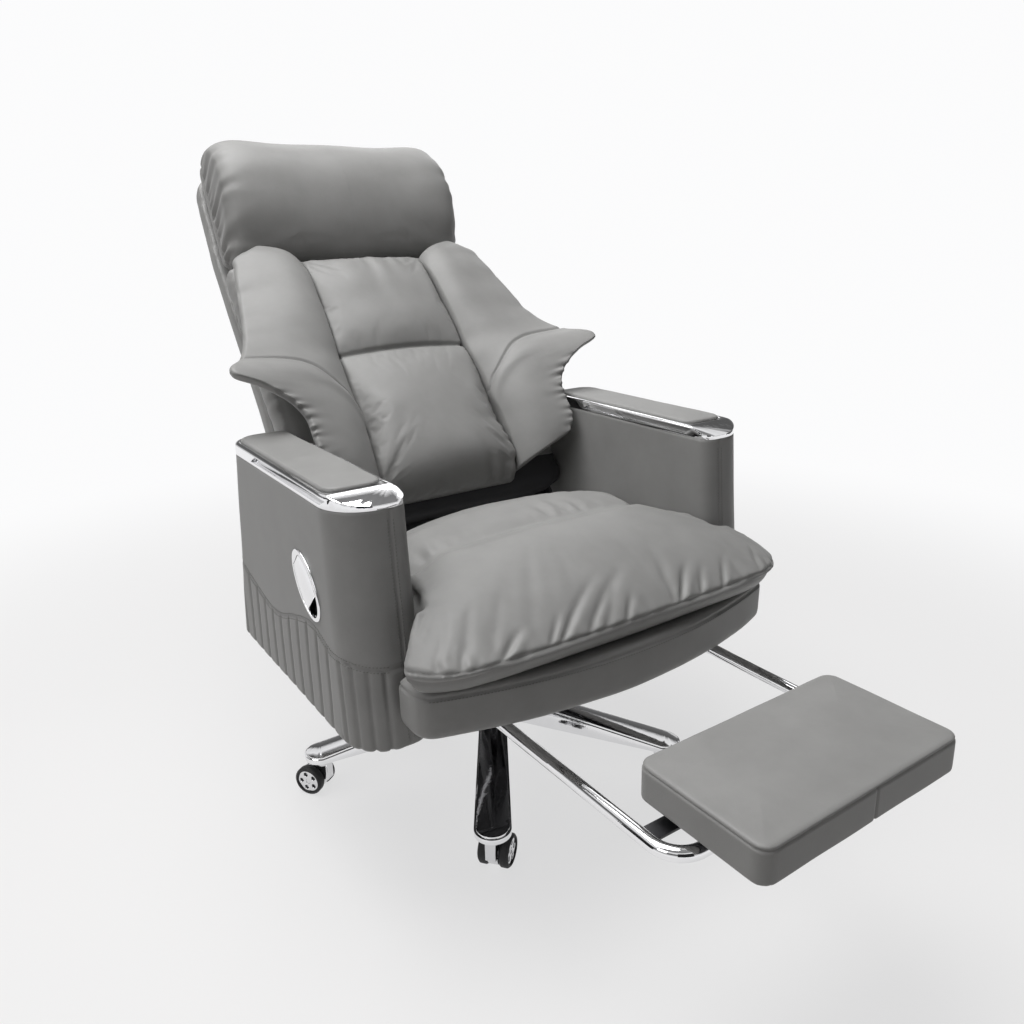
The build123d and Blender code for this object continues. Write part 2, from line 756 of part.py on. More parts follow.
# Arms: upholstered panels with leaning ends, rounded corners and stitched upright channels
for side_name, side in SIDES.items():
    with BuildPart() as arm_panel:
        with BuildSketch(Plane.YZ.offset(side * arm_gap_half)):
            with BuildLine():
                Polyline(
                    (arm_front_low, arm_bottom),
                    (arm_rear_low, arm_bottom),
                    (arm_rear_high, arm_top),
                    (arm_front_high, arm_top),
                    close=True,
                )
            make_face()
        extrude(amount=side * arm_width)
        fillet(upright_edges(arm_panel, side * arm_outer)[0], arm_front_round)
        fillet(upright_edges(arm_panel, side * arm_outer)[-1], arm_rear_round)
        fillet(upright_edges(arm_panel, side * arm_gap_half)[0], arm_inner_round)
        fillet(upright_edges(arm_panel, side * arm_gap_half)[-1], arm_inner_round)
        fillet(arm_panel.edges().group_by(Axis.Z)[0], arm_hem_round)
        with BuildSketch(Plane.XY.offset(arm_bottom)):
            channel_ys = [channel_first_y + i * channel_pitch for i in range(channel_count)]
            with Locations([(side * arm_outer, y) for y in channel_ys]):
                Rectangle(2 * channel_depth, 2 * channel_depth, rotation=45)
        extrude(amount=channel_top - arm_bottom, mode=Mode.SUBTRACT)
        lean = Vector(0, arm_front_high - arm_front_low, arm_top - arm_bottom)
        with BuildSketch(Plane.XY.offset(arm_bottom)):
            for turn in corner_channel_angles:
                pleat_x = arm_outer - arm_front_round * (1 - cos(radians(turn)))
                pleat_y = arm_front_low + arm_front_round * (1 - sin(radians(turn)))
                with Locations((side * pleat_x, pleat_y)):
                    Rectangle(2 * channel_depth, 2 * channel_depth, rotation=45 - side * turn)
        extrude(
            amount=(channel_top - arm_bottom) * lean.length / lean.Z,
            dir=lean,
            mode=Mode.SUBTRACT,
        )
        with BuildSketch(Plane.YZ.offset(side * arm_gap_half)):
            with Locations([(y, arm_bolt_z) for y in arm_bolt_ys]):
                Circle(bolt_radius + running_fit)
        extrude(amount=side * (arm_bolt_length + boss_gap), mode=Mode.SUBTRACT)
        if side_name == "right":
            with BuildSketch(handle_plane(0)):
                Ellipse(handle_half_length - handle_rim / 2, handle_half_width - handle_rim / 2)
            extrude(amount=-handle_pocket_depth, mode=Mode.SUBTRACT)
    save(arm_panel.part, f"arm_panel_{side_name}")

    # Bright trim on the arm's top: a cap with a sloping nose, a long scoop in each side and a pad recess
    with BuildPart() as arm_trim:
        with BuildSketch(Plane.XY.offset(arm_top)) as trim_plan:
            with BuildLine():
                Polyline(
                    (side * arm_gap_half, arm_front_high),
                    (side * arm_outer, arm_front_high),
                    (side * arm_outer, arm_rear_high),
                    (side * arm_gap_half, arm_rear_high),
                    close=True,
                )
            make_face()
            fillet(corner(trim_plan, side * arm_outer, arm_front_high), arm_front_round)
            fillet(corner(trim_plan, side * arm_outer, arm_rear_high), arm_rear_round)
            fillet(corner(trim_plan, side * arm_gap_half, arm_front_high), arm_inner_round)
            fillet(corner(trim_plan, side * arm_gap_half, arm_rear_high), arm_inner_round)
        extrude(amount=trim_height)
        fillet(arm_trim.edges().group_by(Axis.Z)[-1], trim_edge_round)
        with BuildSketch(Plane.YZ.offset(side * arm_gap_half)):
            with BuildLine():
                Polyline(
                    (arm_front_high + trim_nose_length, arm_top + trim_height),
                    (arm_front_high, arm_top + trim_height),
                    (arm_front_high, arm_top + trim_height - trim_nose_drop),
                    close=True,
                )
            make_face()
        extrude(amount=side * (arm_outer - arm_gap_half), mode=Mode.SUBTRACT)
        for face_x, inward in ((arm_outer, -1), (arm_gap_half, 1)):
            with BuildSketch(Plane.YZ.offset(side * face_x)):
                with BuildLine():
                    Polyline(
                        (trim_scoop_front, arm_top + trim_scoop_low),
                        (trim_scoop_rear, arm_top + trim_scoop_low),
                        (trim_scoop_rear - trim_height, arm_top + trim_scoop_high),
                        (trim_scoop_front - trim_height, arm_top + trim_scoop_high),
                        close=True,
                    )
                make_face()
            extrude(amount=side * inward * trim_scoop_depth, mode=Mode.SUBTRACT)
        with BuildSketch(Plane.XY.offset(arm_top + trim_height)) as pad_plan:
            with BuildLine():
                Polyline(
                    (side * (arm_gap_half + arm_pad_inset), arm_pad_front),
                    (side * (arm_outer - arm_pad_inset), arm_pad_front),
                    (side * (arm_outer - arm_pad_inset), arm_rear_high - arm_pad_inset),
                    (side * (arm_gap_half + arm_pad_inset), arm_rear_high - arm_pad_inset),
                    close=True,
                )
            make_face()
            fillet(pad_plan.vertices().group_by(Axis.Y)[0], arm_pad_front_round)
            fillet(corner(pad_plan, side * arm_outer, arm_rear_high), arm_rear_round - arm_pad_inset)
            fillet(corner(pad_plan, side * arm_gap_half, arm_rear_high), arm_inner_round - arm_pad_inset)
        extrude(amount=-arm_pad_sink, mode=Mode.SUBTRACT)
    save(arm_trim.part, f"arm_trim_{side_name}")

    # Padded arm top in the trim's recess
    with BuildPart() as arm_pad:
        with BuildSketch(Plane.XY.offset(arm_top + trim_height - arm_pad_sink)):
            add(pad_plan.sketch_local)
            offset(amount=-soft_gap, mode=Mode.REPLACE)
        extrude(amount=arm_pad_height)
        fillet(arm_pad.edges().group_by(Axis.Z)[-1], arm_pad_edge_round)
    save(arm_pad.part, f"arm_pad_{side_name}")



def oval(inset, foot, end):
    """The handle's oval, drawn in by inset and cut square at both ends along its length."""
    with BuildSketch() as outline:
        Ellipse(handle_half_length - inset, handle_half_width - inset)
        with Locations(((foot + end) / 2, 0)):
            Rectangle(end - foot, 2 * handle_half_width, mode=Mode.INTERSECT)
    return outline.sketch


flap_pin_u = handle_cavity_end - flap_pin_inset
flap_pin_centre = handle_plane(handle_rim_proud - flap_thickness / 2).from_local_coords((flap_pin_u, 0, 0))
flap_pin_plane = Plane(origin=flap_pin_centre, x_dir=(-1, 0, 0), z_dir=handle_plane(0).y_dir)

# Release handle: an oval cup with a bright rim, a flap over most of it and a finger recess below
with BuildPart() as release_bezel:
    with BuildSketch(handle_plane(0)):
        Ellipse(handle_half_length, handle_half_width)
    extrude(amount=handle_rim_proud)
    fillet(release_bezel.edges().group_by(Axis.X)[0], handle_rim_round)
    with BuildSketch(handle_plane(0)):
        Ellipse(
            handle_half_length - handle_rim / 2 - handle_fit,
            handle_half_width - handle_rim / 2 - handle_fit,
        )
    extrude(amount=-(handle_pocket_depth - soft_gap))
    with BuildSketch(handle_plane(handle_rim_proud)):
        add(oval(handle_rim, -handle_half_length, handle_cavity_end))
    extrude(amount=-(handle_pocket_depth + handle_rim_proud - soft_gap - handle_wall), mode=Mode.SUBTRACT)
    with BuildSketch(flap_pin_plane):
        Circle(flap_pin_radius)
    extrude(amount=flap_pin_half_length, both=True, mode=Mode.SUBTRACT)
save(release_bezel.part, "release_bezel")

with BuildPart() as release_pin:
    with BuildSketch(flap_pin_plane):
        Circle(flap_pin_radius)
    extrude(amount=flap_pin_half_length, both=True)
save(release_pin.part, "release_pin")

flap_foot = finger_recess - handle_half_length
with BuildPart() as release_flap:
    with BuildSketch(handle_plane(handle_rim_proud - flap_thickness)):
        add(oval(handle_rim + flap_gap, flap_foot, handle_cavity_end - 2 * flap_gap))
    extrude(amount=flap_thickness)
    with BuildSketch(flap_pin_plane):
        Circle(flap_pin_radius + running_fit)
    extrude(amount=handle_half_width, both=True, mode=Mode.SUBTRACT)
save(release_flap.part, "release_flap")

# Back hinge: a recliner disc on each side plate, a pin through it and a bracket up the back board
for side_name, side in SIDES.items():
    with BuildPart() as recliner_disc:
        with BuildSketch(back_side(side * plate_inner)):
            Circle(recliner_disc_radius)
            Circle(hinge_pin_radius + running_fit, mode=Mode.SUBTRACT)
        extrude(amount=-side * recliner_disc_thickness)
        inner_rims = recliner_disc.edges().group_by(Axis.X)[0 if side > 0 else -1]
        fillet(inner_rims.sort_by(SortBy.LENGTH)[-1], recliner_disc_round)
    save(recliner_disc.part, f"recliner_disc_{side_name}")

    with BuildPart() as back_bracket:
        with BuildSketch(back_side(side * bracket_outer)):
            with BuildLine():
                Polyline(
                    (0, bracket_rear_n + bracket_width / 2),
                    (bracket_width, bracket_rear_n + bracket_width),
                    (bracket_length, bracket_rear_n + bracket_width),
                    (bracket_length, bracket_rear_n),
                    (bracket_knee_s, bracket_rear_n),
                    (recliner_disc_radius, 0),
                    (0, -recliner_disc_radius),
                    close=True,
                )
            make_face()
            Circle(recliner_disc_radius)
            Circle(hinge_pin_radius + running_fit, mode=Mode.SUBTRACT)
        extrude(amount=-side * bracket_thickness)
    save(back_bracket.part, f"back_bracket_{side_name}")

with BuildPart() as hinge_pins:
    for side in SIDES.values():
        with BuildSketch(back_side(side * arm_gap_half)):
            Circle(hinge_pin_radius)
        extrude(amount=-side * (arm_gap_half - bracket_inner))
        with BuildSketch(back_side(side * (bracket_inner - bracket_running_gap))):
            Circle(hinge_pin_head_radius)
        extrude(amount=-side * bracket_thickness / 2)
        with BuildSketch(back_side(side * bracket_inner)):
            Circle(hinge_pin_radius)
        extrude(amount=-side * bracket_thickness / 2)
save(hinge_pins.part, "hinge_pins")

# Back board: plywood, wider at its foot where the brackets are screwed on
with BuildPart() as back_board:
    with BuildSketch(BACK.offset(board_front_n)) as board_plan:
        with BuildLine():
            Polyline(
                (-bracket_inner, back_board_foot_s),
                (bracket_inner, back_board_foot_s),
                (bracket_inner, bracket_length),
                (back_board_half_width, back_board_shoulder_s),
                (back_board_half_width, back_board_top_s),
                (-back_board_half_width, back_board_top_s),
                (-back_board_half_width, back_board_shoulder_s),
                (-bracket_inner, bracket_length),
                close=True,
            )
        make_face()
        fillet(board_plan.vertices().group_by(Axis.Y)[-1], shell_corner_round)
    extrude(amount=-back_board_thickness)
save(back_board.part, "back_board")

# Upholstered rear shell
with BuildPart() as back_shell:
    with BuildSketch(BACK.offset(shell_rear_n)) as shell_plan:
        with BuildLine():
            Polyline(
                (-shell_low_half_width, shell_foot_s),
                (shell_low_half_width, shell_foot_s),
                (shell_low_half_width, shell_flare_foot_s),
                (shell_flare_half_width, shell_flare_end_s),
                (shell_half_width, shell_waist_s),
                (shell_half_width, shell_taper_s),
                (shell_top_half_width, shell_top_s),
                (-shell_top_half_width, shell_top_s),
                (-shell_half_width, shell_taper_s),
                (-shell_half_width, shell_waist_s),
                (-shell_flare_half_width, shell_flare_end_s),
                (-shell_low_half_width, shell_flare_foot_s),
                close=True,
            )
        make_face()
        fillet(shell_plan.vertices().group_by(Axis.Y)[-1], shell_corner_round)
    extrude(amount=shell_thickness)
    fillet(back_shell.faces().sort_by(Axis((0, 0, 0), off_back))[0].edges(), shell_edge_round)
save(back_shell.part, "back_shell")

# Foam pad over the board, behind the sewn panels: it widens in front of the back brackets
pad_rise = back_pad_top_s - back_pad_foot_s
with BuildPart() as back_pad:
    with BuildSketch(BACK.offset(board_front_n)):
        with Locations((0, back_pad_foot_s + pad_rise / 2)):
            RectangleRounded(2 * back_pad_half_width, pad_rise, 2 * back_pad_round)
    extrude(amount=back_pad_thickness)
    with BuildSketch(BACK.offset(board_front_n + back_pad_ledge)):
        with Locations((0, back_pad_foot_s + pad_rise / 2)):
            RectangleRounded(2 * back_pad_wide_half, pad_rise, 2 * back_pad_round)
    extrude(amount=back_pad_thickness - back_pad_ledge)
    fillet(back_pad.faces().sort_by(Axis((0, 0, 0), off_back))[-1].edges(), back_pad_round)
save(back_pad.part, "back_pad")


def panel_half_width(s):
    """Half the width of the centre panel, which narrows up the back."""
    share = (s - panel_foot_s) / (panel_top_s - panel_foot_s)
    return panel_foot_half_width + share * (panel_top_half_width - panel_foot_half_width)


def panel_section(s, side, crown):
    """Crowned section of the centre panel; side and crown are heights over the foam pad."""
    floor = -(pad_front_n + soft_gap)
    return crowned_section(back_section(s), panel_half_width(s), floor, floor - side, floor - crown)


# Centre panel of the back: two crowned fields that meet at a sewn channel
with BuildPart() as lumbar_cushion:
    loft(
        sections=[
            panel_section(s, side, crown)
            for s, side, crown in (
                (panel_foot_s, 14, 26),
                (panel_foot_s + 34, 48, 70),
                (panel_foot_s + 130, 56, 80),
                (panel_channel_s - 40, 46, 62),
                (panel_channel_s + 1, 34, 46),
            )
        ]
    )
    loft(
        sections=[
            panel_section(s, side, crown)
            for s, side, crown in (
                (panel_channel_s, 34, 46),
                (panel_channel_s + 42, 38, 58),
                (panel_channel_s + 120, 32, 52),
                (panel_top_s - 30, 20, 34),
                (panel_top_s, 6, 14),
            )
        ]
    )
save(lumbar_cushion.part, "lumbar_cushion")


def wing_section(side, s, reach, lift, inner):
    """Section of a side wing: reach is its outer X, lift and inner its outer and inner heights."""
    floor = pad_front_n + soft_gap
    edge = panel_half_width(s) + soft_gap
    inner_top = floor + inner
    tip_top = floor + lift + wing_edge_height
    with BuildSketch(back_section(s)) as section:
        with BuildLine():
            Line((side * edge, -floor), (side * edge, -inner_top))
            ThreePointArc(
                (side * edge, -inner_top),
                (side * (edge + reach) / 2, -((inner_top + tip_top) / 2 + wing_crown)),
                (side * reach, -tip_top),
            )
            Polyline(
                (side * reach, -tip_top),
                (side * (reach - wing_edge_lean), -(floor + lift)),
                (side * edge, -floor),
            )
        make_face()
    return section.sketch


# Side wings: padded flaps that rise to a pointed ear and then draw in between the arms.
# Each row: height s, outer reach, outer height and inner height over the foam pad.
wing_profile = (
    (588, 232, 2, 14),
    (545, 250, 12, 40),
    (460, 268, 30, 52),
    (372, 290, 54, 58),
    (306, 322, 92, 62),
    (264, 350, 128, 66),
    (242, 298, 117, 68),
    (200, 262, 104, 70),
    (150, 255, 100, 70),
    (96, 250, 92, 60),
    (80, 240, 84, 46),
)
for side_name, side in SIDES.items():
    with BuildPart() as wing:
        loft(sections=[wing_section(side, *row) for row in wing_profile], ruled=True)
    save(wing.part, f"wing_{side_name}")


def head_section(x, shrink):
    """Side profile of the head pillow at a given X, drawn in by shrink on its free sides."""
    foot = head_foot_s + shrink
    top = head_top_s - 0.6 * shrink
    front = board_front_n + head_depth - 1.2 * shrink
    rear = board_front_n + soft_gap
    middle = (rear + front) / 2
    brow = (top - head_front_round, front - head_front_round)
    lip = (foot + head_lip_height, front - head_lip_depth)
    with BuildSketch(back_side(x)) as section:
        with BuildLine():
            Line((foot, rear), (top, rear))
            ThreePointArc((top, rear), (top + head_top_bulge, middle), brow)
            ThreePointArc(brow, (foot + head_face_crest * (top - foot), front), lip)
            ThreePointArc(lip, (foot - head_foot_sag, middle - head_front_round), (foot, rear))
        make_face()
    return section.sketch


# Head pillow
with BuildPart() as head_pillow:
    loft(
        sections=[
            head_section(share * head_half_width, shrink)
            for share, shrink in (
                (-1.0, 18),
                (-0.94, 6),
                (-0.5, 1),
                (0, 0),
                (0.5, 1),
                (0.94, 6),
                (1.0, 18),
            )
        ]
    )
save(head_pillow.part, "head_pillow")

# Footrest guides: sleeves welded under the cross bars
for side_name, side in SIDES.items():
    with BuildPart() as guide:
        with BuildSketch(Plane.XZ.offset(-guide_rear)):
            with Locations((side * tube_half_spread, tube_z)):
                Circle(guide_radius)
            with Locations((side * tube_half_spread, (tube_z + frame_bottom) / 2)):
                Rectangle(guide_radius, frame_bottom - tube_z)
        extrude(amount=guide_rear - guide_front)
        with BuildSketch(Plane.XY.offset(frame_bottom)):
            for y in (-cross_bar_y, cross_bar_y):
                with Locations((side * tube_half_spread, y)):
                    Rectangle(guide_radius, cross_bar_width)
        extrude(amount=-(frame_bottom - tube_z))
        with BuildSketch(Plane.XZ.offset(-guide_rear)):
            with Locations((side * tube_half_spread, tube_z)):
                Circle(tube_radius + running_fit)
        extrude(amount=guide_rear - guide_front, mode=Mode.SUBTRACT)
    save(guide.part, f"footrest_guide_{side_name}")

# Footrest tube: one bent U that slides in the guides
with BuildPart() as footrest_tube:
    with BuildLine() as tube_path:
        FilletPolyline(
            (-tube_half_spread, tube_rear_y, tube_z),
            (-tube_half_spread, footrest_bar_y, tube_z),
            (tube_half_spread, footrest_bar_y, tube_z),
            (tube_half_spread, tube_rear_y, tube_z),
            radius=tube_bend,
        )
    with BuildSketch(Plane(origin=tube_path.line @ 0, z_dir=tube_path.line % 0)):
        Circle(tube_radius)
    sweep()
save(footrest_tube.part, "footrest_tube")

# Flat strap welded across the tubes
with BuildPart() as footrest_strap:
    with BuildSketch(Plane.XY.offset(tube_z - strap_thickness / 2)):
        with Locations((0, strap_y)):
            Rectangle(2 * (tube_half_spread - tube_radius), strap_width)
    extrude(amount=strap_thickness)
save(footrest_strap.part, "footrest_strap")

# Clips under the pad that turn on the tube's cross bar
pad_board_bottom = tube_z + clip_radius
with BuildPart() as footrest_clips:
    for side in SIDES.values():
        with BuildSketch(Plane.YZ.offset(side * clip_half_spread)):
            with Locations((footrest_bar_y, tube_z)):
                Circle(clip_radius)
            with Locations((footrest_bar_y, tube_z + clip_radius / 2)):
                Rectangle(3 * clip_radius, clip_radius)
            with Locations((footrest_bar_y, tube_z)):
                Circle(tube_radius + running_fit, mode=Mode.SUBTRACT)
        extrude(amount=clip_width / 2, both=True)
save(footrest_clips.part, "footrest_clips")

# Footrest board and its upholstered pad
pad_mid_y = (pad_front + pad_rear) / 2
pad_length = pad_rear - pad_front
pad_bottom = pad_board_bottom + pad_board_thickness
with BuildPart() as footrest_board:
    with BuildSketch(Plane.XY.offset(pad_board_bottom)):
        with Locations((0, pad_mid_y)):
            RectangleRounded(
                2 * (pad_half_width - pad_board_inset),
                pad_length - 2 * pad_board_inset,
                pad_corner_round,
            )
    extrude(amount=pad_board_thickness)
save(footrest_board.part, "footrest_board")

with BuildPart() as footrest_pad:
    with BuildSketch(Plane.XY.offset(pad_bottom)):
        with Locations((0, pad_mid_y)):
            RectangleRounded(2 * pad_half_width, pad_length, pad_corner_round)
    extrude(amount=pad_thickness)
    fillet(footrest_pad.edges().group_by(Axis.Z)[-1], pad_edge_round)
    fillet(footrest_pad.edges().group_by(Axis.Z)[0], pad_edge_round / 2)
save(footrest_pad.part, "footrest_pad")
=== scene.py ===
"""Looks of the grey leather recliner: camera, studio, materials and the soft pieces over the CAD frame."""

import json
import math

import bmesh
import bpy
import numpy as np
from mathutils import Matrix, Vector, noise


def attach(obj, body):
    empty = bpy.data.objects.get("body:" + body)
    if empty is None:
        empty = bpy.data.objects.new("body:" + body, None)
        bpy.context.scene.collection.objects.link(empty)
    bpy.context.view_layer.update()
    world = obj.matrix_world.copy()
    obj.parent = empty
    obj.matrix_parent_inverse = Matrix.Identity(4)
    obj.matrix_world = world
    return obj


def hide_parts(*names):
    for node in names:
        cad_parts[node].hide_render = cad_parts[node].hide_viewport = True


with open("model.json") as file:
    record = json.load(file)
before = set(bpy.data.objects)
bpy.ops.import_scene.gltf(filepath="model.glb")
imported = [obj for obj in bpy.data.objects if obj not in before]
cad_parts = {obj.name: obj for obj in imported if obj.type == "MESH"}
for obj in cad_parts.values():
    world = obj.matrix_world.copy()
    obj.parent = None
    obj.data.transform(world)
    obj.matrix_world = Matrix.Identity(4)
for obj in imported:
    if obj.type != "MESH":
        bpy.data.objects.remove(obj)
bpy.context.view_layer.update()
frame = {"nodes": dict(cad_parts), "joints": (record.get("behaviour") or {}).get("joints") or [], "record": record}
scene = bpy.context.scene
MM = 0.001
SIDES = {"right": -1, "left": 1}

# Photograph: camera solved from its perspective, for a 1024 x 1024 frame
PHOTO_PIXELS = 1024
FOCAL_PIXELS = 869.5
CENTRE_PIXELS = (530.6, 477.7)
CAMERA_AZIMUTH = math.radians(-34.8)
CAMERA_ELEVATION = math.radians(16.17)
CAMERA_ROLL = math.radians(-0.87)
CAMERA_PLACE = Vector((-0.732, -1.181, 0.921))
SENSOR_MM = 36.0

# Back: s runs up the back and n out of its front, both from the hinge axis
HINGE = np.array((0.0, 178.0, 352.0))
RECLINE = math.radians(38.0)
UP_BACK = np.array((0.0, math.sin(RECLINE), math.cos(RECLINE)))
OFF_BACK = np.array((0.0, -math.cos(RECLINE), math.sin(RECLINE)))
PAD_FRONT_N = 101.0

# Centre panel of the back
PANEL_FOOT_S = 36.0
PANEL_CHANNEL_S = 338.0
PANEL_TOP_S = 566.0
PANEL_FOOT_HALF = 138.0
PANEL_TOP_HALF = 121.0
PANEL_TUCK = 16.0

# Seat cushion and base
CUSHION_SEAM_Z = 417.0
CUSHION_CHANNEL_Y = -157.0
CUSHION_FRONT = -386.0
CUSHION_HALF = 327.0
BASE_SEAM_Z = 367.0

# Arms
ARM_INNER = 264.0
ARM_OUTER = 362.0
ARM_BOTTOM = 264.0
ARM_TOP = 588.0
ARM_FRONT = (-266.0, -240.0)
ARM_REAR = (235.0, 183.0)
ARM_FRONT_ROUND = 60.0
ARM_REAR_ROUND = 40.0
ARM_INNER_ROUND = 20.0
ARM_HEM_ROUND = 8.0
ARM_FRONT_SEAM_X = 292.0
PLEAT_PITCH = 36.0
PLEAT_FIRST_Y = -172.0

# Release handle on the right arm: an oval that leans with its top to the rear
HANDLE_Y = -117.0
HANDLE_Z = 461.0
HANDLE_TILT = math.radians(45.0)
HANDLE_POCKET = (51.0, 30.0)
HANDLE_POCKET_DEPTH = 20.0
HANDLE_CUP_X = -348.0

# Caster rims and footrest pad
RIM_RADIUS = 19.5
RIM_MARGIN = 0.2
FOOT_SEAM_Z = 351.0


def material(name, colour, roughness, metallic=0.0):
    """A new node material; returns it with its tree and shader."""
    mat = bpy.data.materials.new(name)
    mat.use_nodes = True
    shader = mat.node_tree.nodes["Principled BSDF"]
    shader.inputs["Base Color"].default_value = (*colour, 1)
    shader.inputs["Roughness"].default_value = roughness
    shader.inputs["Metallic"].default_value = metallic
    return mat, mat.node_tree, shader


def node(tree, kind, **settings):
    """A new node; settings whose names are sockets set the sockets, the rest set properties."""
    made = tree.nodes.new(kind)
    for key, value in settings.items():
        if key in made.inputs:
            made.inputs[key].default_value = value
        else:
            setattr(made, key, value)
    return made


def place_coordinates(tree):
    """The surface's own coordinates in metres, so a grain keeps its size and needs no UV map."""
    return node(tree, "ShaderNodeTexCoord").outputs["Object"]


def leather(name, colour, grain_depth=0.00022):
    """Coated leather: pebbled grain, slow mottling and gloss that wanders a little."""
    mat, tree, shader = material(name, colour, 0.45)
    shader.inputs["Specular IOR Level"].default_value = 0.3
    shader.inputs["Sheen Weight"].default_value = 0.04
    where = place_coordinates(tree)
    pebble = node(tree, "ShaderNodeTexVoronoi", feature="F1", Scale=620.0, Randomness=0.9)
    fine = node(tree, "ShaderNodeTexNoise", Scale=1500.0, Detail=3.0)
    mottle = node(tree, "ShaderNodeTexNoise", Scale=16.0, Detail=4.0, Roughness=0.6)
    for texture in (pebble, fine, mottle):
        tree.links.new(where, texture.inputs["Vector"])
    grain = node(tree, "ShaderNodeMath", operation="MULTIPLY_ADD")
    tree.links.new(fine.outputs["Fac"], grain.inputs[0])
    grain.inputs[1].default_value = 0.35
    tree.links.new(pebble.outputs["Distance"], grain.inputs[2])
    bump = node(tree, "ShaderNodeBump", Strength=0.35, Distance=grain_depth)
    tree.links.new(grain.outputs["Value"], bump.inputs["Height"])
    tree.links.new(bump.outputs["Normal"], shader.inputs["Normal"])
    tone = node(tree, "ShaderNodeValToRGB")
    tone.color_ramp.elements[0].position = 0.3
    tone.color_ramp.elements[0].color = (*[c * 0.93 for c in colour], 1)
    tone.color_ramp.elements[1].position = 0.7
    tone.color_ramp.elements[1].color = (*[c * 1.05 for c in colour], 1)
    tree.links.new(mottle.outputs["Fac"], tone.inputs["Fac"])
    tree.links.new(tone.outputs["Color"], shader.inputs["Base Color"])
    gloss = node(tree, "ShaderNodeMapRange")
    gloss.inputs["To Min"].default_value = 0.40
    gloss.inputs["To Max"].default_value = 0.52
    tree.links.new(mottle.outputs["Fac"], gloss.inputs["Value"])
    tree.links.new(gloss.outputs["Result"], shader.inputs["Roughness"])
    return mat


def worn_metal(name, colour, roughness, spread, scale, bump_depth=0.0, metallic=1.0):
    """Metal or plastic whose gloss varies with fine handling marks; bump_depth adds relief."""
    mat, tree, shader = material(name, colour, roughness, metallic)
    where = place_coordinates(tree)
    marks = node(tree, "ShaderNodeTexNoise", Scale=scale, Detail=5.0, Roughness=0.62)
    tree.links.new(where, marks.inputs["Vector"])
    gloss = node(tree, "ShaderNodeMapRange")
    gloss.inputs["To Min"].default_value = max(0.02, roughness - spread)
    gloss.inputs["To Max"].default_value = roughness + spread
    tree.links.new(marks.outputs["Fac"], gloss.inputs["Value"])
    tree.links.new(gloss.outputs["Result"], shader.inputs["Roughness"])
    tone = node(tree, "ShaderNodeValToRGB")
    tone.color_ramp.elements[0].color = (*[c * 0.94 for c in colour], 1)
    tone.color_ramp.elements[1].color = (*[min(1.0, c * 1.04) for c in colour], 1)
    tree.links.new(marks.outputs["Fac"], tone.inputs["Fac"])
    tree.links.new(tone.outputs["Color"], shader.inputs["Base Color"])
    if bump_depth:
        bump = node(tree, "ShaderNodeBump", Strength=0.4, Distance=bump_depth)
        tree.links.new(marks.outputs["Fac"], bump.inputs["Height"])
        tree.links.new(bump.outputs["Normal"], shader.inputs["Normal"])
    return mat


def plywood(name):
    """Birch plywood with long grain."""
    mat, tree, shader = material(name, (0.5, 0.36, 0.22), 0.6)
    where = place_coordinates(tree)
    stretch = node(tree, "ShaderNodeMapping")
    stretch.inputs["Scale"].default_value = (6.0, 90.0, 90.0)
    grain = node(tree, "ShaderNodeTexNoise", Scale=3.0, Detail=6.0, Distortion=0.8)
    tone = node(tree, "ShaderNodeValToRGB")
    tone.color_ramp.elements[0].color = (0.38, 0.25, 0.14, 1)
    tone.color_ramp.elements[1].color = (0.62, 0.47, 0.3, 1)
    bump = node(tree, "ShaderNodeBump", Strength=0.3, Distance=0.0004)
    tree.links.new(where, stretch.inputs["Vector"])
    tree.links.new(stretch.outputs["Vector"], grain.inputs["Vector"])
    tree.links.new(grain.outputs["Fac"], tone.inputs["Fac"])
    tree.links.new(tone.outputs["Color"], shader.inputs["Base Color"])
    tree.links.new(grain.outputs["Fac"], bump.inputs["Height"])
    tree.links.new(bump.outputs["Normal"], shader.inputs["Normal"])
    return mat


LEATHER_GREY = (0.245, 0.243, 0.238)
LEATHER = leather("grey_leather", LEATHER_GREY)
THREAD = worn_metal("grey_thread", (0.17, 0.168, 0.162), 0.7, 0.1, 2400.0, 0.0002, 0.0)
# Near-black cloth, also used as painted shade: on hidden boards seen through gaps, inside the handle's pocket and
# at the foot of the back pad
LINING_AND_PAINTED_SHADE = worn_metal("dark_lining_and_painted_shade", (0.035, 0.035, 0.038), 0.8, 0.1, 900.0, 0.0004, 0.0)
CHROME = worn_metal("chrome", (0.84, 0.84, 0.85), 0.05, 0.02, 34.0, 0.0007)
STEEL = worn_metal("bare_steel", (0.5, 0.5, 0.51), 0.32, 0.08, 260.0, 0.00008)
BLACK_STEEL = worn_metal("black_steel", (0.03, 0.03, 0.033), 0.42, 0.08, 900.0, 0.0001, 0.0)
BLACK_PLASTIC = worn_metal("black_plastic", (0.022, 0.022, 0.023), 0.5, 0.08, 1200.0, 0.0001, 0.0)
SILVER_PLASTIC = worn_metal("silver_plastic", (0.72, 0.72, 0.73), 0.16, 0.05, 120.0)
RUBBER = worn_metal("tyre_rubber", (0.02, 0.02, 0.021), 0.62, 0.1, 700.0, 0.00015, 0.0)
PLYWOOD = plywood("plywood")

SLOT_MATERIALS = {
    "grey_leather": LEATHER,
    "chrome_trim": CHROME,
    "bare_steel": STEEL,
    "black_steel": BLACK_STEEL,
    "plywood": PLYWOOD,
    "black_plastic": BLACK_PLASTIC,
    "silver_plastic": SILVER_PLASTIC,
    "black_tyre": RUBBER,
}


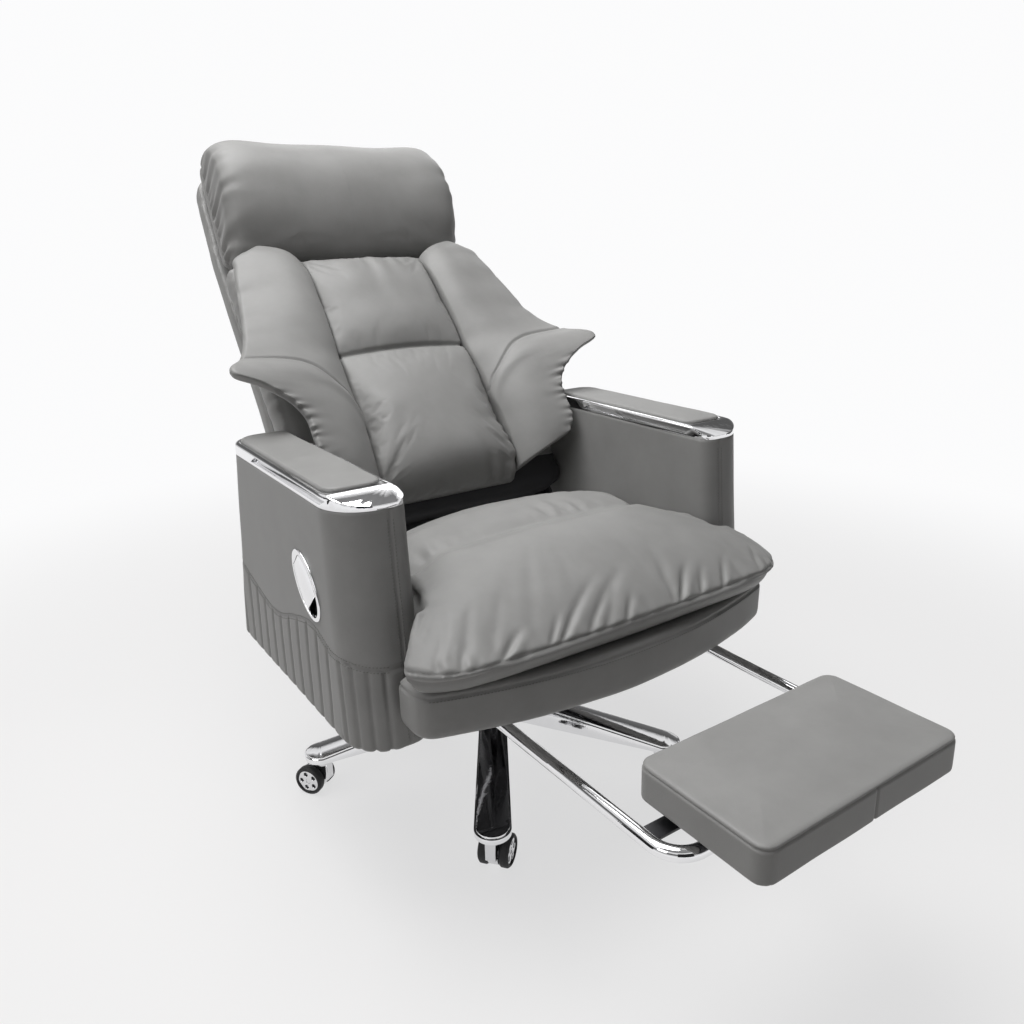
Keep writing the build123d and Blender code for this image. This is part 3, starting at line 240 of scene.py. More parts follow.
def finish_node(name, mat):
    """Gives a CAD node that stays in view its material, softened edges and smooth shading."""
    obj = frame["nodes"][name]
    obj.data.materials.clear()
    obj.data.materials.append(mat)
    obj.data.polygons.foreach_set("use_smooth", [True] * len(obj.data.polygons))
    weld = obj.modifiers.new("weld", "WELD")
    weld.merge_threshold = 0.00002
    bevel = obj.modifiers.new("edges", "BEVEL")
    bevel.width = 0.0007
    bevel.segments = 2
    bevel.limit_method = "ANGLE"
    bevel.angle_limit = math.radians(32)
    bevel.harden_normals = True


def paint_faces(name, mat, chosen):
    """Gives some faces of a CAD node another material; chosen tells them by centre, in millimetres."""
    obj = frame["nodes"][name]
    obj.data.materials.append(mat)
    index = len(obj.data.materials) - 1
    for polygon in obj.data.polygons:
        if chosen(np.array(polygon.center) / MM):
            polygon.material_index = index


for part in frame["record"]["subparts"]:
    finish_node(part["node"], SLOT_MATERIALS[part["material_slot"]])
# The hidden boards get the near-black lining; where they show through the gaps it stands in as painted shade
for hidden_board in ("back_board", "seat_board", "footrest_board"):
    finish_node(hidden_board, LINING_AND_PAINTED_SHADE)


def rim_test(joint):
    """A test of whether a face centre belongs to the silver rim of the wheel that spins on a joint."""
    axle_place = np.array(joint["pos_m"]) / MM
    axle_way = np.array(joint["axis"])

    def in_rim(centre):
        away = centre - axle_place
        return np.linalg.norm(away - axle_way * (away @ axle_way)) < RIM_RADIUS - RIM_MARGIN

    return in_rim


for joint in frame["joints"]:
    if joint["name"].endswith("_spin"):
        wheel = joint["child"].replace("_inner", "_wheel_inner").replace("_outer", "_wheel_outer")
        paint_faces(wheel, SILVER_PLASTIC, rim_test(joint))
# The bezel's faces deep in the arm take the near-black material: painted shade inside the handle's pocket
paint_faces("release_bezel", LINING_AND_PAINTED_SHADE, lambda centre: centre[0] > HANDLE_CUP_X)


def read_points(obj):
    """An object's vertices in millimetres."""
    points = np.empty(len(obj.data.vertices) * 3)
    obj.data.vertices.foreach_get("co", points)
    return points.reshape(-1, 3) / MM


def write_points(obj, points):
    """Sets an object's vertices from millimetres."""
    obj.data.vertices.foreach_set("co", (points * MM).ravel())
    obj.data.update()


def read_normals(obj):
    """An object's vertex normals."""
    normals = np.empty(len(obj.data.vertices) * 3)
    obj.data.vertices.foreach_get("normal", normals)
    return normals.reshape(-1, 3)


def mesh_object(name, points, faces):
    """A smooth mesh object from points in millimetres."""
    mesh = bpy.data.meshes.new(name)
    mesh.from_pydata((np.asarray(points) * MM).tolist(), [], faces)
    mesh.polygons.foreach_set("use_smooth", [True] * len(mesh.polygons))
    obj = bpy.data.objects.new(name, mesh)
    scene.collection.objects.link(obj)
    return obj


def apply_modifiers(obj):
    """Bakes an object's modifiers into its mesh."""
    shape = obj.evaluated_get(bpy.context.evaluated_depsgraph_get())
    mesh = bpy.data.meshes.new_from_object(shape)
    obj.modifiers.clear()
    old = obj.data
    obj.data = mesh
    bpy.data.meshes.remove(old)
    mesh.polygons.foreach_set("use_smooth", [True] * len(mesh.polygons))


def remeshed(name, cad_node, voxel, relax=0):
    """A new object over a CAD node's solid, in even small faces, its edges relaxed."""
    obj = bpy.data.objects.new(name, frame["nodes"][cad_node].data.copy())
    obj.data.materials.clear()
    scene.collection.objects.link(obj)
    remesh = obj.modifiers.new("remesh", "REMESH")
    remesh.mode = "VOXEL"
    remesh.voxel_size = voxel * MM
    if relax:
        smooth = obj.modifiers.new("relax", "SMOOTH")
        smooth.iterations = relax
        smooth.factor = 0.5
    apply_modifiers(obj)
    return obj


def inflate(obj, held, pressure, cap, stiffness=12.0, slack=0.0):
    """Cloth simulation: the cover swells between its held seams, by at most cap millimetres."""
    start = read_points(obj)
    group = obj.vertex_groups.new(name="seams")
    for index in np.nonzero(held)[0]:
        group.add([int(index)], 1.0, "REPLACE")
    cloth = obj.modifiers.new("cloth", "CLOTH")
    settings = cloth.settings
    settings.quality = 3
    settings.mass = 0.25
    settings.tension_stiffness = stiffness
    settings.compression_stiffness = stiffness
    settings.shear_stiffness = stiffness / 3
    settings.bending_stiffness = 0.4
    settings.air_damping = 1.5
    settings.use_pressure = True
    settings.uniform_pressure_force = pressure
    settings.shrink_min = -slack
    settings.shrink_max = -slack
    settings.effector_weights.gravity = 0.0
    settings.vertex_group_mass = group.name
    cloth.collision_settings.use_collision = False
    cloth.collision_settings.use_self_collision = False
    cloth.point_cache.frame_start = 1
    cloth.point_cache.frame_end = 20
    for step in range(1, 21):
        scene.frame_set(step)
    shape = obj.evaluated_get(bpy.context.evaluated_depsgraph_get())
    moved = np.empty(len(shape.data.vertices) * 3)
    shape.data.vertices.foreach_get("co", moved)
    moved = moved.reshape(-1, 3) / MM
    obj.modifiers.clear()
    obj.vertex_groups.clear()
    scene.frame_set(1)
    shift = moved - start
    far = np.linalg.norm(shift, axis=1, keepdims=True)
    write_points(obj, start + shift * np.minimum(1.0, cap / np.maximum(far, 1e-6)))


def subdivide(obj, levels=1):
    """Catmull-Clark subdivision, applied."""
    rounded = obj.modifiers.new("round", "SUBSURF")
    rounded.levels = levels
    apply_modifiers(obj)


def displace(obj, amount):
    """Moves each vertex along its normal by amount, in millimetres."""
    write_points(obj, read_points(obj) + read_normals(obj) * np.asarray(amount)[:, None])


def dress(obj, body, nodes, mat=LEATHER):
    """Hangs a finished piece on its body in place of its CAD nodes."""
    obj.data.materials.clear()
    obj.data.materials.append(mat)
    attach(obj, body)
    if nodes:
        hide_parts(*nodes)
    return obj


def spline(xs, ys, x):
    """Smooth curve through points with rising xs."""
    xs, ys, x = np.asarray(xs, float), np.asarray(ys, float), np.asarray(x, float)
    slopes = np.gradient(ys, xs)
    i = np.clip(np.searchsorted(xs, x) - 1, 0, len(xs) - 2)
    h = xs[i + 1] - xs[i]
    t = np.clip((x - xs[i]) / h, 0, 1)
    return (
        (2 * t**3 - 3 * t**2 + 1) * ys[i]
        + (t**3 - 2 * t**2 + t) * h * slopes[i]
        + (3 * t**2 - 2 * t**3) * ys[i + 1]
        + (t**3 - t**2) * h * slopes[i + 1]
    )


def ramp(x, low, high):
    """0 below low, 1 above high, smooth between."""
    t = np.clip((np.asarray(x, float) - low) / (high - low), 0, 1)
    return t * t * (3 - 2 * t)


def groove(distance, width):
    """A sewn line's profile: 1 on the line, fading within about a width."""
    return np.exp(-((np.asarray(distance) / width) ** 2))


def waves(points, size, seed, stretch=(1, 1, 1)):
    """Smooth noise in -1..1 over points in millimetres; size is one lump's width."""
    scaled = points * np.asarray(stretch) / size + seed * 17.3
    return np.array([noise.noise(p) for p in scaled])


def gathers(run, depth, pitch, length, rise, seed):
    """Puckers that leave a seam, in millimetres: run goes along the seam and depth away from it."""
    chance = np.random.default_rng(seed)
    depth = np.clip(depth, 0, None)
    width = 0.2 * pitch + 0.16 * depth
    total = np.zeros(len(run))
    for middle in np.arange(run.min(), run.max(), pitch):
        place = middle + chance.uniform(-0.35, 0.35) * pitch
        reach = length * chance.uniform(0.4, 1.3)
        strength_here = rise * chance.uniform(0.3, 1.0) * np.exp(-depth / reach)
        total -= strength_here * np.exp(-(((run - place) / width) ** 2))
        total += 0.4 * strength_here * np.exp(-(((run - place - 1.7 * width) / width) ** 2))
    return total


def back_point(x, s, n):
    """Points of the back in millimetres."""
    x, s, n = np.broadcast_arrays(x, s, n)
    base = HINGE + s[..., None] * UP_BACK + n[..., None] * OFF_BACK
    base[..., 0] += x
    return base


def back_coordinates(points):
    """x, s and n of points of the back."""
    away = points - HINGE
    return points[:, 0], away @ UP_BACK, away @ OFF_BACK


def loft_mesh(name, loops):
    """A closed surface through closed loops of equal length, capped at both ends."""
    rows, count, _ = loops.shape
    faces = []
    for r in range(rows - 1):
        for c in range(count):
            d = (c + 1) % count
            faces.append((r * count + c, r * count + d, (r + 1) * count + d, (r + 1) * count + c))
    points = list(loops.reshape(-1, 3))
    for row, flip in ((0, True), (rows - 1, False)):
        hub = len(points)
        points.append(loops[row].mean(0))
        for c in range(count):
            a, b = row * count + c, row * count + (c + 1) % count
            faces.append((b, a, hub) if flip else (a, b, hub))
    obj = mesh_object(name, points, faces)
    mesh = bmesh.new()
    mesh.from_mesh(obj.data)
    bmesh.ops.recalc_face_normals(mesh, faces=mesh.faces)
    mesh.to_mesh(obj.data)
    mesh.free()
    return obj


def stitches(name, path, cover, body, pitch=4.6, length=3.0, radius=0.5):
    """A row of sewn stitches along a path in millimetres, laid on a cover as small threads."""
    laid = []
    for point in path:
        _, place, normal, _ = cover.closest_point_on_mesh(Vector(point) * MM)
        laid.append(np.array(place) / MM + np.array(normal) * radius * 0.4)
    path = np.array(laid)
    steps = np.linalg.norm(np.diff(path, axis=0), axis=1)
    along = np.concatenate(([0], np.cumsum(steps)))
    count = max(2, int(along[-1] / pitch))
    points, faces = [], []
    ring = 5
    for k in range(count):
        middle = (k + 0.5) * along[-1] / count
        ends = [
            np.array([np.interp(middle + d, along, path[:, axis]) for axis in range(3)])
            for d in (-length / 2, -length / 4, length / 4, length / 2)
        ]
        direction = ends[-1] - ends[0]
        direction /= np.linalg.norm(direction) + 1e-9
        side = np.cross(direction, (0.31, 0.57, 0.76))
        side /= np.linalg.norm(side) + 1e-9
        other = np.cross(direction, side)
        first = len(points)
        for end, size in zip(ends, (0.45, 1.0, 1.0, 0.45)):
            for j in range(ring):
                turn = 2 * math.pi * j / ring
                points.append(end + radius * size * (side * math.cos(turn) + other * math.sin(turn)))
        for r in range(3):
            for j in range(ring):
                a = first + r * ring + j
                b = first + r * ring + (j + 1) % ring
                faces.append((a, b, b + ring, a + ring))
        faces.append(tuple(first + j for j in reversed(range(ring))))
        faces.append(tuple(first + 3 * ring + j for j in range(ring)))
    obj = mesh_object(name, points, faces)
    return dress(obj, body, (), THREAD)


def panel_half(s):
    """Half the width of the back's centre panel at height s."""
    share = (s - PANEL_FOOT_S) / (PANEL_TOP_S - PANEL_FOOT_S)
    return PANEL_FOOT_HALF + share * (PANEL_TOP_HALF - PANEL_FOOT_HALF)


# Camera
camera_data = bpy.data.cameras.new("camera")
camera = bpy.data.objects.new("camera", camera_data)
scene.collection.objects.link(camera)
camera_data.sensor_width = SENSOR_MM
camera_data.lens = FOCAL_PIXELS * SENSOR_MM / PHOTO_PIXELS
camera_data.shift_x = (PHOTO_PIXELS / 2 - CENTRE_PIXELS[0]) / PHOTO_PIXELS
camera_data.shift_y = (CENTRE_PIXELS[1] - PHOTO_PIXELS / 2) / PHOTO_PIXELS
backward = Vector((
    math.sin(CAMERA_AZIMUTH) * math.cos(CAMERA_ELEVATION),
    -math.cos(CAMERA_AZIMUTH) * math.cos(CAMERA_ELEVATION),
    math.sin(CAMERA_ELEVATION),
))
level = (-backward).cross(Vector((0, 0, 1))).normalized()
upward = level.cross(-backward)
camera_x = level * math.cos(CAMERA_ROLL) + upward * math.sin(CAMERA_ROLL)
camera_y = upward * math.cos(CAMERA_ROLL) - level * math.sin(CAMERA_ROLL)
turn = Matrix((camera_x, camera_y, backward)).transposed()
camera.matrix_world = Matrix.Translation(CAMERA_PLACE) @ turn.to_4x4()
scene.camera = camera

# Studio: a seamless pale floor, soft lamps and a white surround
scene.view_settings.view_transform = "Standard"
world = bpy.data.worlds.new("studio")
scene.world = world
world.use_nodes = True
surround = world.node_tree.nodes["Background"]
AMBIENT = 0.1
# Brightness of the surround that metal mirrors, by the sine of its height: window, wall, window, ceiling
DOME_BANDS = (
    (0.0, 0.62),
    (0.1, 0.75),
    (0.2, 0.16),
    (0.42, 0.1),
    (0.52, 0.8),
    (0.68, 0.92),
    (0.76, 0.22),
    (1.0, 0.3),
)
rays = node(world.node_tree, "ShaderNodeLightPath")
compass = node(world.node_tree, "ShaderNodeTexCoord")
axes = node(world.node_tree, "ShaderNodeSeparateXYZ")
dome = node(world.node_tree, "ShaderNodeValToRGB")
for band in DOME_BANDS[1:-1]:
    dome.color_ramp.elements.new(band[0])
for stop, (place, value) in zip(dome.color_ramp.elements, DOME_BANDS):
    stop.position = place
    stop.color = (value, value, value, 1)
mirrored = node(world.node_tree, "ShaderNodeMapRange")
mirrored.inputs["To Min"].default_value = AMBIENT
strength = node(world.node_tree, "ShaderNodeMapRange")
strength.inputs["To Max"].default_value = 1.0
for start, end in (
    (compass.outputs["Generated"], axes.inputs["Vector"]),
    (axes.outputs["Z"], dome.inputs["Fac"]),
    (dome.outputs["Color"], mirrored.inputs["To Max"]),
    (rays.outputs["Is Glossy Ray"], mirrored.inputs["Value"]),
    (mirrored.outputs["Result"], strength.inputs["To Min"]),
    (rays.outputs["Is Camera Ray"], strength.inputs["Value"]),
    (strength.outputs["Result"], surround.inputs["Strength"]),
):
    world.node_tree.links.new(start, end)
surround.inputs["Color"].default_value = (0.97, 0.97, 0.975, 1)


def stage_sheet(name, corners, mat):
    """A flat four-cornered sheet that belongs to the studio."""
    mesh = bpy.data.meshes.new(name)
    mesh.from_pydata(corners, [], [(0, 1, 2, 3)])
    obj = bpy.data.objects.new(name, mesh)
    scene.collection.objects.link(obj)
    obj.data.materials.append(mat)
    return obj


FLOOR_MATERIAL, floor_tree, floor_shader = material("studio_floor", (0.58, 0.57, 0.56), 0.6)
FADE_START = 0.9
FADE_END = 2.3
FLOOR_HALF = 14.0
FLOOR_GLOW = 0.68
floor_where = place_coordinates(floor_tree)
floor_tone = node(floor_tree, "ShaderNodeTexNoise", Scale=1.6, Detail=3.0)
floor_ramp = node(floor_tree, "ShaderNodeValToRGB")
floor_ramp.color_ramp.elements[0].color = (0.56, 0.55, 0.54, 1)
floor_ramp.color_ramp.elements[1].color = (0.60, 0.585, 0.575, 1)
floor_tree.links.new(floor_where, floor_tone.inputs["Vector"])
floor_tree.links.new(floor_tone.outputs["Fac"], floor_ramp.inputs["Fac"])
floor_tree.links.new(floor_ramp.outputs["Color"], floor_shader.inputs["Base Color"])
distance = node(floor_tree, "ShaderNodeVectorMath", operation="LENGTH")
fade = node(floor_tree, "ShaderNodeMapRange", interpolation_type="SMOOTHSTEP")
fade.inputs["From Min"].default_value = FADE_START
fade.inputs["From Max"].default_value = FADE_END
fade.inputs["To Min"].default_value = FLOOR_GLOW
floor_rays = node(floor_tree, "ShaderNodeLightPath")
floor_seen = node(floor_tree, "ShaderNodeMath", operation="MAXIMUM")
fade_seen = node(floor_tree, "ShaderNodeMath", operation="MULTIPLY")
white = node(floor_tree, "ShaderNodeEmission", Color=(0.97, 0.97, 0.975, 1), Strength=1.0)
blend = node(floor_tree, "ShaderNodeMixShader")
floor_tree.links.new(floor_where, distance.inputs[0])
floor_tree.links.new(distance.outputs["Value"], fade.inputs["Value"])
floor_tree.links.new(floor_rays.outputs["Is Camera Ray"], floor_seen.inputs[0])
floor_tree.links.new(floor_rays.outputs["Is Glossy Ray"], floor_seen.inputs[1])
floor_tree.links.new(fade.outputs["Result"], fade_seen.inputs[0])
floor_tree.links.new(floor_seen.outputs["Value"], fade_seen.inputs[1])
floor_tree.links.new(fade_seen.outputs["Value"], blend.inputs[0])
floor_tree.links.new(floor_shader.outputs["BSDF"], blend.inputs[1])
floor_tree.links.new(white.outputs["Emission"], blend.inputs[2])
floor_tree.links.new(blend.outputs["Shader"], floor_tree.nodes["Material Output"].inputs["Surface"])
stage_sheet(
    "floor",
    [(x * FLOOR_HALF, y * FLOOR_HALF, 0) for x, y in ((-1, -1), (1, -1), (1, 1), (-1, 1))],
    FLOOR_MATERIAL,
)

FLAG_MATERIAL, _, _ = material("dark_flag", (0.012, 0.012, 0.013), 0.9)


def flag(name, centre, width, height, facing):
    """A black studio flag that only bright metal reflects."""
    facing = Vector(facing).normalized()
    across = facing.cross(Vector((0, 0, 1))).normalized() * width / 2
    rise = across.cross(facing).normalized() * height / 2
    middle = Vector(centre)
    signs = ((-1, -1), (1, -1), (1, 1), (-1, 1))
    corners = [tuple(middle + across * a + rise * b) for a, b in signs]
    obj = stage_sheet(name, corners, FLAG_MATERIAL)
    obj.visible_camera = False
    obj.visible_diffuse = False
    obj.visible_shadow = False


flag("flag_front", (-1.3, -3.4, 1.2), width=2.2, height=2.4, facing=(0.4, 1, 0))
flag("flag_right", (3.4, -1.2, 0.9), width=2.4, height=1.8, facing=(-1, 0.2, 0))
flag("flag_left", (-3.6, 1.0, 1.0), width=1.8, height=2.0, facing=(1, -0.2, 0))


def lamp(name, place, target, size, power):
    """A square soft lamp."""
    data = bpy.data.lights.new(name, "AREA")
    data.size = size
    data.energy = power
    obj = bpy.data.objects.new(name, data)
    scene.collection.objects.link(obj)
    obj.location = place
    obj.rotation_euler = (Vector(target) - Vector(place)).to_track_quat("-Z", "Y").to_euler()


lamp("overhead", (-0.55, 0.3, 3.0), target=(0, -0.15, 0.4), size=2.2, power=106)
lamp("key", (-3.0, -1.0, 2.0), target=(0, 0, 0.5), size=1.4, power=11.5)
lamp("rim", (1.6, 2.4, 2.2), target=(0, 0, 0.7), size=1.8, power=11)

# Seat cushion: swollen between its seams, with short puckers along the front seam and a few long folds
# Folds: start along the front seam, lean per millimetre climbed, depth, length and width
CUSHION_FOLDS = (
    (-300, 0.7, 2.0, 28, 5),
    (-272, 0.7, 2.4, 30, 5),
    (-218, 1.2, 4.6, 38, 8),
    (-150, 1.0, 2.6, 48, 6),
    (-132, 1.3, 3.4, 85, 8),
    (-88, 1.25, 2.6, 80, 8),
    (-58, 0.9, 2.2, 95, 9),
    (-24, 0.8, 2.8, 42, 6),
    (66, 0.3, 2.8, 120, 7),
    (76, 0.95, 4.4, 62, 7),
    (118, 0.8, 2.8, 48, 6),
    (165, 0.85, 3.0, 52, 6),
    (250, 0.7, 2.2, 45, 7),
)
CUSHION_CORNER_SETBACK = 58.0
CUSHION_FLOOR_Z = 384.0
CUSHION_UNDER = 90.0
CUSHION_REACH = 3.0
CUSHION_NOSE_DROP = 7.0
CUSHION_ARM_CREASE_X = 243.0


def cushion_front(x):
    """Where the front seam lies in y: it falls back towards the corners."""
    return CUSHION_FRONT + CUSHION_CORNER_SETBACK * (np.abs(x) / CUSHION_HALF) ** 6


cushion = remeshed("seat_cushion_cover", "seat_cushion", voxel=6.0, relax=5)
points = read_points(cushion)
front_line = cushion_front(points[:, 0])
near_seam = (np.abs(points[:, 2] - CUSHION_SEAM_Z) < 5) & (points[:, 1] < front_line + 22)
sewn = near_seam | (points[:, 2] < CUSHION_FLOOR_Z)
inflate(cushion, sewn, pressure=4.0, cap=24)
subdivide(cushion)
points = read_points(cushion)
x, y, z = points.T
front_line = cushion_front(x)
below = np.clip((CUSHION_SEAM_Z - z) / (CUSHION_SEAM_Z - z.min()), 0, 1)
tuck = np.clip(y - front_line - 5 - 5 * below**2, 0, CUSHION_UNDER) * ramp(below, 0, 0.15)
y -= tuck - tuck**2 / CUSHION_UNDER
nose = ramp(front_line + 90 - y, 0, 70)
y -= CUSHION_REACH * nose
front_line -= CUSHION_REACH
seam_off = z - CUSHION_SEAM_Z
z -= CUSHION_NOSE_DROP * nose * groove(seam_off, np.where(seam_off > 0, 48.0, 21.0))
write_points(cushion, points)
above = np.clip(seam_off, 0, None)
climb = np.hypot(above, np.clip(y - front_line - 12, 0, None))
upper = ramp(above, 0, 6)
corner = 0.5 + 0.5 * ramp(np.abs(x), 170, 300)
puckers = gathers(x, above, pitch=27, length=16, rise=4.5, seed=3) * corner * ramp(-y, 240, 320)
folds = np.zeros(len(points))
wander = waves(points, size=40, seed=19, stretch=(0.3, 1, 1)) * 9
for start, lean, rise, length, width in CUSHION_FOLDS:
    off = x - start - lean * climb + wander * ramp(climb, 0, 40)
    spread = width * (0.8 + climb / 110)
    along = ramp(climb, 0, 8) * (1 - ramp(climb, 0.25 * length, length)) * ramp(-y, 120, 200)
    shoulder = 0.4 * groove(off - 2.1 * spread, 1.6 * spread)
    folds += rise * (shoulder - groove(off, spread)) * along
lumps = waves(points, size=120, seed=8, stretch=(0.8, 0.8, 0.3)) * 3.0 * ramp(z, 430, 460)
on_top = ramp(z, 440, 460)
rear_spots = groove(x - 60, 75) + groove(x + 165, 50)
behind = y - CUSHION_CHANNEL_Y - 4
rear_pull = gathers(x + 0.15 * y, behind, pitch=25, length=42, rise=7.0, seed=27) * rear_spots * on_top
rear_pull *= ramp(y - CUSHION_CHANNEL_Y, 4, 26)
ends = ramp(np.abs(x), 190, 238)
channel = -5.0 * groove(y - CUSHION_CHANNEL_Y, 5) * ramp(z, 430, 445) * ends
arm_line = np.abs(x) - CUSHION_ARM_CREASE_X - 0.22 * (CUSHION_CHANNEL_Y - y)
arm_crease = (2.5 * groove(arm_line + 15, 8) - 8.0 * groove(arm_line, 6)) * ramp(z, 430, 445)
arm_crease *= ramp(-y, 140, 160) * (1 - ramp(-y, 225, 262))
side_pull = gathers(y, ARM_INNER - 2 - np.abs(x), pitch=30, length=34, rise=6.0, seed=4) * on_top
side_pull *= groove(y - CUSHION_CHANNEL_Y, 70)
lip = -2.6 * groove(seam_off - 1.5, 2.4) * ramp(-y, 300, 330)
seam_folds = (puckers + folds) * upper + lumps + channel
displace(cushion, seam_folds + side_pull + rear_pull + arm_crease + lip)
dress(cushion, "seat", ["seat_cushion"])

# Seat base: a tight cover with a stitched line under its top edge
base = remeshed("seat_base_cover", "seat_base", voxel=5.0, relax=2)
subdivide(base)
points = read_points(base)
x, y, z = points.T
skirt = ramp(-y, 262, 275)
line = -2.2 * groove(z - BASE_SEAM_Z, 1.9) * skirt
soft = waves(points, size=60, seed=2) * 0.8 * skirt
displace(base, line + soft)
dress(base, "seat", ["seat_base"])
BASE_STITCH_X = np.linspace(-300, 300, 121)
BASE_STITCH_START = -600.0
base_path = []
for across in BASE_STITCH_X:
    before = Vector((across, BASE_STITCH_START, BASE_SEAM_Z - 4)) * MM
    hit, place, _, _ = base.ray_cast(before, Vector((0, 1, 0)))
    if hit:
        base_path.append(np.array(place) / MM)
stitches("seat_base_stitches", base_path, base, "seat")

# Centre panel of the back
panel = remeshed("back_centre_panel", "lumbar_cushion", voxel=5.0, relax=5)
px, ps, pn = back_coordinates(read_points(panel))
sewn = (pn < PAD_FRONT_N + 5) | (np.abs(ps - PANEL_CHANNEL_S) < 4)
inflate(panel, sewn, pressure=3.5, cap=16, slack=0.005)
subdivide(panel)
points = read_points(panel)
px, ps, pn = back_coordinates(points)
points += PANEL_TUCK * (1 - ramp(ps, PANEL_FOOT_S, PANEL_FOOT_S + 90))[:, None] * UP_BACK
write_points(panel, points)
px, ps, pn = back_coordinates(points)
face = ramp(pn, PAD_FRONT_N + 12, PAD_FRONT_N + 30)
local = np.stack((px, ps, pn), axis=1)
drape = gathers(px, PANEL_TOP_S - 6 - ps, pitch=34, length=75, rise=5.0, seed=5) * ramp(ps, 350, 400)
mid_line = -5.0 * groove(ps - PANEL_CHANNEL_S, 4)
foot_pull = gathers(px + 0.3 * ps, ps - 52, pitch=30, length=60, rise=5.5, seed=9)
foot_pull *= 1 - ramp(ps, 120, 240)
foot_pull *= 0.08 + 0.92 * ramp(px, 20, 105)
seam_pull = gathers(ps, panel_half(ps) - px, pitch=30, length=26, rise=4.0, seed=6)
seam_pull *= 1 - ramp(ps, 150, 260)
sag = waves(local, size=85, seed=11, stretch=(0.5, 1.2, 0.4)) * 2.4
displace(panel, (drape + mid_line + foot_pull + seam_pull + sag) * face)
dress(panel, "back", ["lumbar_cushion"])

# Head pillow: a firm block gathered along its side seams
head = remeshed("head_pillow_cover", "head_pillow", voxel=5.0, relax=3)
px, ps, pn = back_coordinates(read_points(head))
HEAD_HALF = np.abs(px).max()
HEAD_SEAM_N = 58.0
HEAD_FOOT_SPREAD = 1.035
HEAD_TOP_SPREAD = 0.975
HEAD_DROOP = 14.0
inflate(head, (pn < HEAD_SEAM_N) | (np.abs(px) > HEAD_HALF - 12), pressure=1.5, cap=4)
subdivide(head)
points = read_points(head)
px, ps, pn = back_coordinates(points)
rise = (ps - ps.min()) / (ps.max() - ps.min())
points[:, 0] *= HEAD_FOOT_SPREAD + rise * (HEAD_TOP_SPREAD - HEAD_FOOT_SPREAD)
points -= HEAD_DROOP * (1 - ramp(rise, 0, 0.4))[:, None] * UP_BACK
write_points(head, points)
local = np.stack((px, ps, pn), axis=1)
inward = HEAD_HALF - np.abs(px) + 0.6 * np.clip(pn - HEAD_SEAM_N, 0, 60)
gather = np.zeros(len(points))
for way, seed in ((-1, 7), (1, 8)):
    gather += gathers(ps, inward, pitch=21, length=60, rise=7.0, seed=seed) * (np.sign(px) == way)
gather *= ramp(pn, HEAD_SEAM_N - 6, HEAD_SEAM_N + 14)
side_seam = -2.5 * groove(pn - HEAD_SEAM_N, 3) * ramp(np.abs(px), HEAD_HALF - 30, HEAD_HALF - 12)
calm = waves(local, size=150, seed=12) * 1.2
displace(head, gather + side_seam + calm)
dress(head, "back", ["head_pillow"])

# Rear shell and the foam pad between shell and panels; the pad's foot is near-black, painted shade behind the seat
# cushion
SHELL_S = np.array((18.0, 60.0, 92.0, 325.0, 636.0, 836.0))
SHELL_HALF = np.array((234.0, 234.0, 256.0, 248.0, 248.0, 236.0))
SHELL_SEAM_INSET = 27.0
shell = remeshed("back_shell_cover", "back_shell", voxel=6.0, relax=4)
subdivide(shell)
points = read_points(shell)
px, ps, pn = back_coordinates(points)
shell_edge = spline(SHELL_S, SHELL_HALF, np.clip(ps, SHELL_S[0], SHELL_S[-1])) - np.abs(px)
shell_rim = np.min([shell_edge, ps - SHELL_S[0], SHELL_S[-1] - ps], axis=0)
rear_face = ramp(-(read_normals(shell) @ OFF_BACK), 0.5, 0.9)
from_seam = shell_rim - SHELL_SEAM_INSET
welt = (1.2 * groove(from_seam + 5, 3.5) - 2.2 * groove(from_seam, 2.2)) * rear_face
displace(shell, waves(points, size=110, seed=14) * 1.2 + welt)
dress(shell, "back", ["back_shell"])
FOAM_PAINTED_SHADE_S = 96.0
foam = remeshed("back_pad_cover", "back_pad", voxel=6.0, relax=4)
points = read_points(foam)
px, ps, pn = back_coordinates(points)
flank = ramp(np.abs(read_normals(foam)[:, 0]), 0.4, 0.8) * ramp(np.abs(px), 236, 248)
bulge = flank * (9.0 + gathers(ps, PAD_FRONT_N - pn, pitch=26, length=30, rise=5.0, seed=17))
displace(foam, waves(points, size=46, seed=15) * 1.6 + bulge)
dress(foam, "back", ["back_pad"])
# Faces low on the pad take the near-black material: painted shade in the gap behind the seat cushion
foam.data.materials.append(LINING_AND_PAINTED_SHADE)
for polygon in foam.data.polygons:
    if (np.array(polygon.center) / MM - HINGE) @ UP_BACK < FOAM_PAINTED_SHADE_S:
        polygon.material_index = 1

# Side wings: a main panel, a lapel-like gusset below a curved seam, and a rolled hem with an ear
# Sections: height s, reach from the middle, lift of the outer edge, thickness beside the centre panel
WING_SECTIONS = np.array((
    (80, 234, 84, 42),
    (96, 242, 92, 46),
    (150, 246, 100, 54),
    (200, 252, 104, 53),
    (224, 270, 110, 51),
    (242, 296, 117, 50),
    (254, 320, 124, 49),
    (262, 345, 130, 49),
    (270, 349, 128, 48),
    (306, 323, 92, 44),
    (338, 303, 70, 39),
    (372, 289, 54, 40),
    (460, 268, 30, 36),
    (545, 250, 12, 24),
    (574, 242, 5, 13),
    (588, 224, 0, 2),
), float)
WING_S, WING_REACH, WING_LIFT, WING_INNER = WING_SECTIONS.T
WING_EDGE = 16.0
WING_SEAM_FOOT_S = 220.0
WING_SEAM_RISE = 97.0
WING_ROWS = 150
WING_FACE = 46
WING_HEM = 8
WING_UNDER = 16


def wing_seam(share):
    """Height s of the gusset's seam at a share of the way from the centre panel to the outer edge."""
    return WING_SEAM_FOOT_S + WING_SEAM_RISE * (1 - (1 - share) ** 4)


